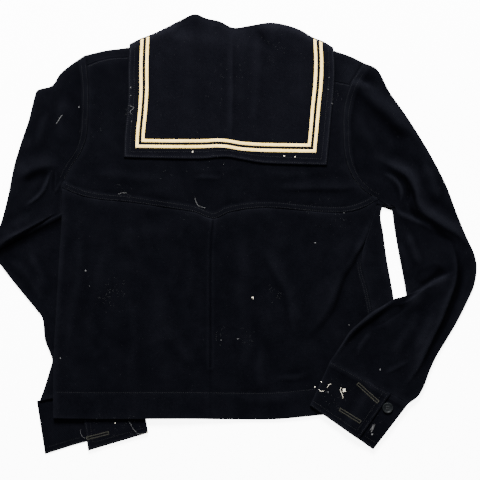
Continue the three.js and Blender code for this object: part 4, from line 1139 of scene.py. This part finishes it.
def sleeve_piece(side, table, upper_low, forearm_low):
    edges = SLEEVE_EDGES[side]
    seam = CUFFS[side]["seam"]
    cuff_seam = line(*seam) if side == "right" else line(*seam[::-1])
    elbow = line(edges["inner"](1), edges["outer"](1))
    upper_at = patch(ARMHOLE[side], elbow, edges["inner"], edges["outer"])
    forearm_at = patch(elbow, cuff_seam, edges["forearm_inner"], edges["forearm_outer"])
    inner_columns = np.linspace(SLEEVE_MARGIN, 1 - SLEEVE_MARGIN, SLEEVE_COLUMNS)
    columns = np.concatenate([[0], inner_columns, [1]])
    upper_rows = spread(SLEEVE_LENGTHS["upper"], start=EDGE_STEPS)
    forearm_rows = spread(SLEEVE_LENGTHS["forearm"])
    forearm_rows = np.concatenate([[ELBOW_ROW], forearm_rows[forearm_rows > ELBOW_END]])
    upper = plan_grid(upper_at, columns, upper_rows)
    forearm = plan_grid(forearm_at, columns, forearm_rows)
    if side == "right":
        keep_inside(upper, edges["inner"], ARMPIT_TURN)
    lift = armhole_lift(border_distance(upper, "bottom"))
    along = upper_rows[:, None]
    upper_rings = sleeve_rings(upper, lambda points: upper_low(points, along), table, lift, ARMHOLE_LAP)
    forearm_rings = sleeve_rings(forearm, forearm_low, table)
    whole = tuple(np.concatenate(parts) for parts in zip(upper_rings, forearm_rings))
    return cloth_piece(f"sleeve_{side}_cloth", [whole], WOOL, f"sleeve_{side}")


# Cuffs: one band each, as stretches across its plan on their layers
CUFF_THICKNESS = 1.8
CUFF_OVER = 1.3
CUFF_LIFT = 0.7
CUFF_LIFT_ROWS = (1 - 9 / CUFF_HEIGHT, 1 - 5 / CUFF_HEIGHT)
CUFF_HEM = 0.3
CUFF_WEAR = 0.6
# Columns: start and end across the cuff, the layers below at each, and whether it faces up
CUFF_STRETCHES = {
    "right": [
        (CUFF_LAP["button_end"], 1, 1, 1, True),
        (1, 0, 0, 0, False),
        (0, 0.42, 1, 1, True),
        (0.42, 0.56, 1, 2, True),
        (0.56, CUFF_LAP["top_end"], 2, 2, True),
    ],
    "left": [
        (LEFT_CUFF_START, 1, 0, 0, False),
        (1, LEFT_CUFF_TOP_END, 1, 1, True),
    ],
}


def cuff_patch(side, top):
    seam, wrist = CUFFS[side]["seam"], CUFFS[side]["wrist"]
    path = CUFFS[side].get("top_wrist", wrist) if top else wrist
    return patch(curve(path), line(*seam), line(path[0], seam[0]), line(path[-1], seam[1]))


def cuff_shares(start, end, width, free_start, free_end):
    """Shares across a stretch, closer together at a free end."""
    shares = np.linspace(start, end, max(2, round(abs(end - start) * width / CUFF_CELL)) + 1)
    fine = np.array(EDGE_STEPS[1:]) / width * np.sign(end - start)
    if free_start:
        shares = np.concatenate([[start], start + fine, shares[1:]])
    if free_end:
        shares = np.concatenate([shares[:-1], end - fine[::-1], [end]])
    margin = FOLD_RADIUS / width
    return np.clip(shares, start if free_start else margin, 1 - margin)


def cuff_layers(shares, start, end, layer_start, layer_end):
    """How many layers lie below each share, eased from one whole number to the next."""
    turn = 1 if start < end else -1
    layers = np.interp(shares, (start, end)[::turn], (layer_start, layer_end)[::turn])
    return np.floor(layers) + smooth(layers - np.floor(layers), 0, 1)


def cuff_top(grid, level, rows, free):
    """A stretch that faces up: a sewn border round its free edges, lifted over the sleeve's end."""
    borders = ["bottom"] + (["right"] if "right" in free else [])
    hem = np.maximum.reduce([CUFF_HEM * band(border_distance(grid, side), 4, 1.5) for side in borders])
    lap = CUFF_LIFT * smooth(rows, *CUFF_LIFT_ROWS)[:, None]
    relief = hem + CUFF_WEAR * wear(grid)
    return up_wall(grid, level, relief, ["bottom", "top", *free], CUFF_THICKNESS, lap)


def cuff_fold(near, edge, previous, wall, up):
    """The fold between a stretch and the one before it, from the lower of them to the upper one."""
    ends = (previous[0][:, -1, 2], wall[0][:, 0, 2])[::1 if up else -1]
    arc = fold_arc(near, unit(edge - near), *ends, FOLD_RADIUS)
    return arc if up else reverse(arc)


def cuff_piece(side, ground):
    width = math.dist(CUFFS[side]["wrist"][0], CUFFS[side]["wrist"][-1])
    rows = spread(CUFF_HEIGHT, CUFF_CELL, start=EDGE_STEPS, end=CUFF_TOP_STEPS)
    rows = np.append(rows, 1 + CUFF_OVER / CUFF_HEIGHT)
    walls = []
    was_up = None
    last = CUFF_STRETCHES[side][-1]
    for stretch in CUFF_STRETCHES[side]:
        start, end, layer_start, layer_end, up = stretch
        free = (["left"] if not walls else []) + (["right"] if stretch is last else [])
        at = cuff_patch(side, up)
        shares = cuff_shares(start, end, width, "left" in free, "right" in free)
        grid = plan_grid(at, shares, rows)
        level = ground(grid) + cuff_layers(shares, start, end, layer_start, layer_end) * LAYER
        wall = cuff_top(grid, level, rows, free) if up else down_wall(grid, level)
        if walls and up != was_up:
            edge = at(np.full_like(rows, start), rows)
            walls.append(cuff_fold(grid[:, 0], edge, walls[-1], wall, up))
        walls.append(wall)
        was_up = up
    return cloth_piece(f"cuff_{side}_cloth", [stack(*walls)], WOOL, f"cuff_{side}")


# Small things on the cloth, placed on its top surface
def pixel(x, y):
    """A place in the photograph's own grid, as a point in plan."""
    return (x - PHOTO["x"]) * PHOTO["scale"], (PHOTO["y"] - y) * PHOTO["scale"]


def pixels(*places):
    return [pixel(x, y) for x, y in places]


def cloth_surface(*names):
    """A search tree over all the cloth, and the ranges of faces of the named pieces, or of all."""
    vertices, faces, start, first, own = [], [], 0, 0, []
    for name, (points, triangles) in CLOTH_MESHES.items():
        vertices += points.tolist()
        faces += (triangles + start).tolist()
        start += len(points)
        if not names or name in names:
            own.append((first, first + len(triangles)))
        first += len(triangles)
    return BVHTree.FromPolygons(vertices, faces), own


def on_surface(surface, plan, lift=0.0):
    """Points on top of the named cloth at the plan points, or none where something else is on top."""
    tree, own = surface
    found = []
    for x, y in plan:
        place, _, face, _ = tree.ray_cast(Vector((x, y, 60)), Vector((0, 0, -1)))
        shown = place is not None and any(first <= face < last for first, last in own)
        found.append(np.array([x, y, place.z + lift]) if shown else None)
    return found


def tube(points, radius, sides=5, taper=0.5):
    """A round thread through the points, thinner at its ends."""
    points = np.array(points, float)
    along = unit(np.gradient(points, axis=0))
    across = unit(np.cross(along, (0.0, 0.0, 1.0)))
    above = np.cross(across, along)
    share = np.linspace(-1, 1, len(points))
    width = radius * (1 - (1 - taper) * np.abs(share) ** 4)
    angles = np.arange(sides) * 2 * math.pi / sides
    ring = (np.cos(angles)[None, :, None] * across[:, None] + np.sin(angles)[None, :, None] * above[:, None])
    vertices = (points[:, None] + ring * width[:, None, None]).reshape(-1, 3)
    faces = []
    for row in range(len(points) - 1):
        for side in range(sides):
            a, b = row * sides + side, row * sides + (side + 1) % sides
            faces += [(a, b, b + sides), (a, b + sides, a + sides)]
    last = (len(points) - 1) * sides
    for side in range(1, sides - 1):
        faces += [(0, side + 1, side), (last, last + side, last + side + 1)]
    return vertices, np.array(faces)


def merged(parts):
    vertices, faces, start = [], [], 0
    for points, triangles in parts:
        vertices.append(points)
        faces.append(triangles + start)
        start += len(points)
    return np.concatenate(vertices), np.concatenate(faces)


def small_piece(name, parts, material):
    vertices, faces = merged(parts)
    piece = add_object(name, vertices, faces, material)
    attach(piece, "root")
    return piece


def raised_stitch(surface, plan, lifts, radius, sides=5, most_step=np.inf):
    """A short thread over plan points, lifted off the cloth, or none where another piece covers it."""
    points = on_surface(surface, plan)
    if any(point is None for point in points):
        return []
    points = np.array(points)
    if np.ptp(points[:, 2]) >= most_step:
        return []
    points[:, 2] += lifts
    return [tube(points, radius, sides)]


def stitch_row(surface, plan):
    """Separate stitches along a polyline in plan, each a short thread that dips in at its ends."""
    length, gap, radius, jitter = (STITCH[key] for key in ("length", "gap", "radius", "jitter"))
    knots = np.array(plan, float)
    steps = np.concatenate([[0], np.cumsum(np.linalg.norm(np.diff(knots, axis=0), axis=1))])
    lifts = radius * np.array([-0.6, 0.5, 0.5, -0.6])
    stitches = []
    place = gap
    while place + length < steps[-1]:
        marks = place + length * np.array([0.0, 0.33, 0.67, 1.0])
        row = np.stack([np.interp(marks, steps, knots[:, axis]) for axis in (0, 1)], axis=-1)
        row += CHANCE.uniform(-jitter, jitter, size=(1, 2))
        stitches += raised_stitch(surface, row, lifts, radius, 4, STITCH["step"])
        place += length + gap
    return stitches


def loose_thread(surface, plan, radius, lift=0.25, count=14, wiggle=0.0):
    """A thread that lies on the cloth along a curve in plan."""
    path = trace(curve(plan), count) + CHANCE.normal(0, wiggle, size=(count + 1, 2))
    points = [point for point in on_surface(surface, path, radius + lift) if point is not None]
    return [tube(points, radius)] if len(points) > 2 else []


def lint_fleck(surface, place, size):
    """A curl of fluff: a few short threads crossed at one place."""
    threads = []
    for _ in range(3):
        angle = CHANCE.uniform(0, 2 * math.pi)
        reach = size * CHANCE.uniform(0.5, 1.0) / 2
        step = reach * np.array([math.cos(angle), math.sin(angle)])
        bend = reach * 0.6 * np.array([-math.sin(angle), math.cos(angle)])
        middle = np.array(place) + CHANCE.normal(0, 0.2, 2)
        plan = [middle - step, middle + bend, middle + step]
        threads += loose_thread(surface, plan, 0.16 + size / 22, 0.1, 6)
    return threads


def offset_line(path, distance, start, end):
    return beside(path, distance)(np.linspace(start, end, 90))


def seam_stitches(surface):
    """The rows of navy topstitching beside the yoke's seams, the side seam and the hem."""
    lines = [(YOKE_SEAM, distance, 0.01, 0.985) for distance in (1.7, 7.0)]
    lines += [(RIGHT_SIDE_SEAM, distance, 0.03, SIDE_SEAM_SHOWN) for distance in (1.6, 4.8)]
    lines.append((BACK_HEM, HEM_DEPTH - 1, 0.01, 0.98))
    lines += [(between(YOKE_TOP, start, end), -1.6, 0, 1) for start, end in ((0.0, 0.24), (0.78, 1.0))]
    return [stitch for values in lines for stitch in stitch_row(surface, offset_line(*values))]


def armhole_stitches():
    """Two rows on each sleeve's band, along its armhole."""
    rows = []
    for side, turn in (("left", 1), ("right", -1)):
        surface = cloth_surface(f"sleeve_{side}_cloth")
        for distance in ARMHOLE_ROWS:
            rows += stitch_row(surface, offset_line(ARMHOLE[side], turn * distance, 0.06, 0.94))
    return rows


def collar_stitches(surface):
    rows = []
    for distance in COLLAR_ROWS:
        side = distance / COLLAR_SIZE["width"]
        low = distance / COLLAR_SIZE["depth"]
        down = np.linspace(0.97, low, 90)
        path = np.concatenate([
            COLLAR_PATCH(side, down),
            COLLAR_PATCH(np.linspace(side, 1 - side, 140), low),
            COLLAR_PATCH(1 - side, down[::-1]),
        ])
        rows += stitch_row(surface, path)
    return rows


def cuff_stitches(surface):
    """Two rows round each cuff's free edges, and one along the right cuff's seam."""
    right, left, left_low = cuff_patch("right", True), cuff_patch("left", True), cuff_patch("left", False)
    rows = []
    for inset in CUFF_ROWS:
        low = inset / CUFF_HEIGHT
        right_end = CUFF_LAP["top_end"] - inset / CUFF_WIDTHS["right"]
        left_end = LEFT_CUFF_TOP_END + inset / CUFF_WIDTHS["left"]
        paths = [
            right(np.linspace(0.01, right_end, 60), low),
            right(right_end, np.linspace(low, 0.97, 50)),
            right(np.linspace(0.8, 0.99, 20), low),
            left(np.linspace(left_end, 0.99, 60), low),
            left(left_end, np.linspace(low, 0.8, 50)),
            left_low(np.linspace(0.02, 0.36, 40), low),
        ]
        rows += [stitch for path in paths for stitch in stitch_row(surface, path)]
    return rows + stitch_row(surface, right(np.linspace(0.01, 0.75, 60), 0.975))


def whipped_slit(surface, start, end):
    """A buttonhole: close stitches across each lip of a slit, and bars at both ends."""
    width, radius = BUTTONHOLE["width"], BUTTONHOLE["radius"]
    start, end = np.array(start, float), np.array(end, float)
    length = np.linalg.norm(end - start)
    along = (end - start) / length
    across = np.array([-along[1], along[0]])
    stitches = []
    count = round(length / (2.1 * radius))
    for side in (-1, 1):
        for index in range(count + 1):
            centre = start + along * (length * index / count)
            centre = centre + CHANCE.normal(0, 0.06, 2)
            inner = centre + across * side * BUTTONHOLE["slit"]
            outer = centre + across * side * width / 2
            lifts = radius * np.array([0.1, 1.0, -0.2])
            stitches += raised_stitch(surface, [inner, (inner + outer) / 2, outer], lifts, radius)
    for place in (start, end):
        for shift in (-0.35, 0.35):
            middle = place + along * shift
            plan = [middle - across * width / 2, middle, middle + across * width / 2]
            stitches += raised_stitch(surface, plan, radius * np.array([0.1, 1.3, 0.1]), radius * 1.1)
    return stitches


def turned_solid(profile, sides):
    """A closed solid turned about its own axis, from a profile that starts and ends on it."""
    vertices, rings = [], []
    for across, height in profile:
        count = sides if across else 1
        rings.append([len(vertices) + side % count for side in range(sides)])
        turns = [2 * math.pi * side / sides for side in range(count)]
        vertices += [(across * math.cos(turn), across * math.sin(turn), height) for turn in turns]
    faces = []
    for low, high in zip(rings, rings[1:]):
        for side in range(sides):
            after = (side + 1) % sides
            corners = [low[side], low[after], high[after], high[side]]
            faces.append([corner for index, corner in enumerate(corners) if corner not in corners[:index]])
    return vertices, faces


def hole_centre(quarter):
    turn = math.radians(BUTTON["turn"]) + quarter * math.pi / 2
    reach = BUTTON["hole_reach"]
    return np.array([BUTTON["x"] + reach * math.cos(turn), BUTTON["y"] + reach * math.sin(turn)])


def button_hole(centre, top):
    """A dark plug in the button, whose top stands just clear of the sunk middle."""
    count = 14
    ring = np.arange(count) * 2 * math.pi / count
    x, y = centre[0] + BUTTON["hole"] * np.cos(ring), centre[1] + BUTTON["hole"] * np.sin(ring)
    rim_points = np.stack([x, y, np.full(count, top + 0.06)], axis=-1)
    vertices = np.concatenate([rim_points, rim_points - np.array([0, 0, 0.3])])
    faces = [(0, k, k + 1) for k in range(1, count - 1)]
    faces += [(count, count + k + 1, count + k) for k in range(1, count - 1)]
    faces += [(k, count + k, count + (k + 1) % count) for k in range(count)]
    faces += [(k, count + (k + 1) % count, (k + 1) % count) for k in range(count)]
    return vertices, np.array(faces)


def button_threads(top):
    """Two pairs of threads, each from one hole to the next."""
    threads = []
    for quarter in (0, 2):
        a, b = hole_centre(quarter), hole_centre(quarter + 1)
        for shift in (-0.22, 0.22):
            side = unit(np.array([a[1] - b[1], b[0] - a[0]])) * shift
            places = [a + side, a * 0.75 + b * 0.25 + side, a * 0.25 + b * 0.75 + side, b + side]
            heights = top + np.array([-0.05, 0.4, 0.4, -0.05])
            threads.append(tube(np.column_stack([places, heights]), 0.24, 6, 1.0))
    return threads


def button_piece():
    """A dark four-hole button, turned from one profile, with a raised rim and a sunk middle."""
    seat = float(on_body(np.array([[BUTTON["x"], BUTTON["y"]]]))[0]) + LAYER + CLOTH + BUTTON["seat"]
    thickness, rim, dish = (BUTTON[key] for key in ("thickness", "rim", "dish"))
    radius = BUTTON["diameter"] / 2
    vertices, faces = turned_solid([
        (0.0, 0.0), (radius - 0.9, 0.0), (radius - 0.2, 0.6), (radius, 1.3), (radius - 0.15, 2.1),
        (radius - 0.6, thickness - 0.15), (radius - rim * 0.6, thickness), (radius - rim, thickness - 0.2),
        (radius - rim - 0.7, thickness - dish), (radius * 0.5, thickness - dish - 0.15),
        (0.0, thickness - dish - 0.2),
    ], 64)
    piece = add_object("button", vertices, faces, DARK_BUTTON)
    piece.location = (BUTTON["x"] * MM, BUTTON["y"] * MM, seat * MM)
    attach(piece, "root")
    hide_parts("button_right")
    top = seat + thickness - dish - 0.15
    holes = [button_hole(hole_centre(quarter), top) for quarter in range(4)]
    small_piece("button_holes", holes, HOLE_SHADE)
    small_piece("button_thread", button_threads(top), NAVY_THREAD)


def lint(surface, threads, flecks, wiggle):
    """Loose threads and curls of fluff, from their tables."""
    parts = []
    for radius, plan in threads:
        parts += loose_thread(surface, pixels(*plan), radius, wiggle=wiggle)
    for place, size_mm in flecks:
        parts += lint_fleck(surface, pixel(*place), size_mm)
    return parts


def nap_dust(surface):
    """Short pale fibres that lie scattered in patches."""
    dust = []
    for x, y, reach, count in LINT_PATCHES:
        for _ in range(count):
            place = np.array(pixel(x, y)) + CHANCE.normal(0, 1.3 * reach, 2)
            angle = CHANCE.uniform(0, math.pi)
            step = CHANCE.uniform(0.5, 1.8) * np.array([math.cos(angle), math.sin(angle)])
            bent = place + CHANCE.normal(0, 0.4, 2)
            dust += loose_thread(surface, [place - step, bent, place + step], 0.09, 0, 4)
    return dust


def thread_tuft(surface):
    """The threads that a lost button left behind."""
    tuft = []
    for start, end in TUFT:
        middle = ((start[0] + end[0]) / 2 + 0.4, (start[1] + end[1]) / 2)
        tuft += loose_thread(surface, pixels(start, middle, end), 0.3, 0.3, 8)
    return tuft


def add_details():
    surface = cloth_surface()
    body = cloth_surface("front_cloth", "back_cloth", "yoke_cloth")
    collar_top = cloth_surface("collar_cloth")
    cuffs = cloth_surface("cuff_left_cloth", "cuff_right_cloth")
    small_piece("stitches_body", seam_stitches(body) + armhole_stitches(), NAVY_THREAD)
    small_piece("stitches_collar", collar_stitches(collar_top), COLLAR_THREAD)
    small_piece("stitches_cuffs", cuff_stitches(cuffs), NAVY_THREAD)
    holes = []
    for start, end in BUTTONHOLES:
        holes += whipped_slit(surface, pixel(*start), pixel(*end))
    small_piece("buttonholes", holes, OLIVE_THREAD)
    pale = lint(surface, PALE_THREADS, PALE_FLECKS, 0.15)
    small_piece("pale_lint", pale, PALE_THREAD)
    grey = lint(surface, GREY_THREADS, GREY_FLECKS, 0.12)
    small_piece("grey_lint", grey, GREY_LINT)
    small_piece("nap_dust", nap_dust(surface), NAP_DUST)
    small_piece("button_tuft", thread_tuft(surface), TUFT_THREAD)


# Floor, light and camera
def add_floor():
    corners = [(x * FLOOR_HALF, y * FLOOR_HALF, 0) for x, y in ((-1, -1), (1, -1), (1, 1), (-1, 1))]
    floor = add_object("floor", corners, [(0, 1, 2, 3)], floor_material("pale_table"), False)
    return floor


def add_window():
    lamp = bpy.data.lights.new("window", "AREA")
    lamp.shape = "SQUARE"
    lamp.size = WINDOW["size"]
    lamp.energy = WINDOW["power"]
    holder = bpy.data.objects.new("window", lamp)
    holder.location = WINDOW["place"]
    aim = Vector(WINDOW["target"]) - Vector(WINDOW["place"])
    holder.rotation_euler = aim.to_track_quat("-Z", "Y").to_euler()
    bpy.context.scene.collection.objects.link(holder)


def add_sky():
    world = bpy.data.worlds.new("studio")
    world.use_nodes = True
    background = world.node_tree.nodes["Background"]
    background.inputs["Color"].default_value = SKY["colour"]
    background.inputs["Strength"].default_value = SKY["strength"]
    bpy.context.scene.world = world


def add_camera():
    camera = bpy.data.cameras.new("photo_view")
    camera.sensor_fit = "HORIZONTAL"
    camera.sensor_width = SENSOR
    camera.lens = SENSOR * (VIEW["height"] - VIEW["plane"]) / VIEW["width"]
    camera.clip_start = 0.05
    camera.clip_end = 20
    holder = bpy.data.objects.new("photo_view", camera)
    holder.location = (VIEW["x"] * MM, VIEW["y"] * MM, VIEW["height"] * MM)
    bpy.context.scene.collection.objects.link(holder)
    bpy.context.scene.camera = holder


add_camera()
add_sky()
add_window()
floor = add_floor()
front = front_piece()
back = back_piece()
yoke = yoke_piece()
collar = collar_piece()
outer_tape = tape_piece("tape_outer", "stripe_outer", 0)
inner_tape = tape_piece("tape_inner", "stripe_inner", TAPE["width"] + TAPE["gap"])
sleeve_left = sleeve_piece(
    "left", LEFT_SLEEVE_CREASES, lambda points, along: rest_level(points), on_floor)
sleeve_right = sleeve_piece(
    "right", RIGHT_SLEEVE_CREASES,
    lambda points, along: rest_level(points) + on_body(points) * smooth(along, 0.5, 1), on_body)
cuff_left = cuff_piece("left", on_floor)
cuff_right = cuff_piece("right", on_body)
button_piece()
add_details()
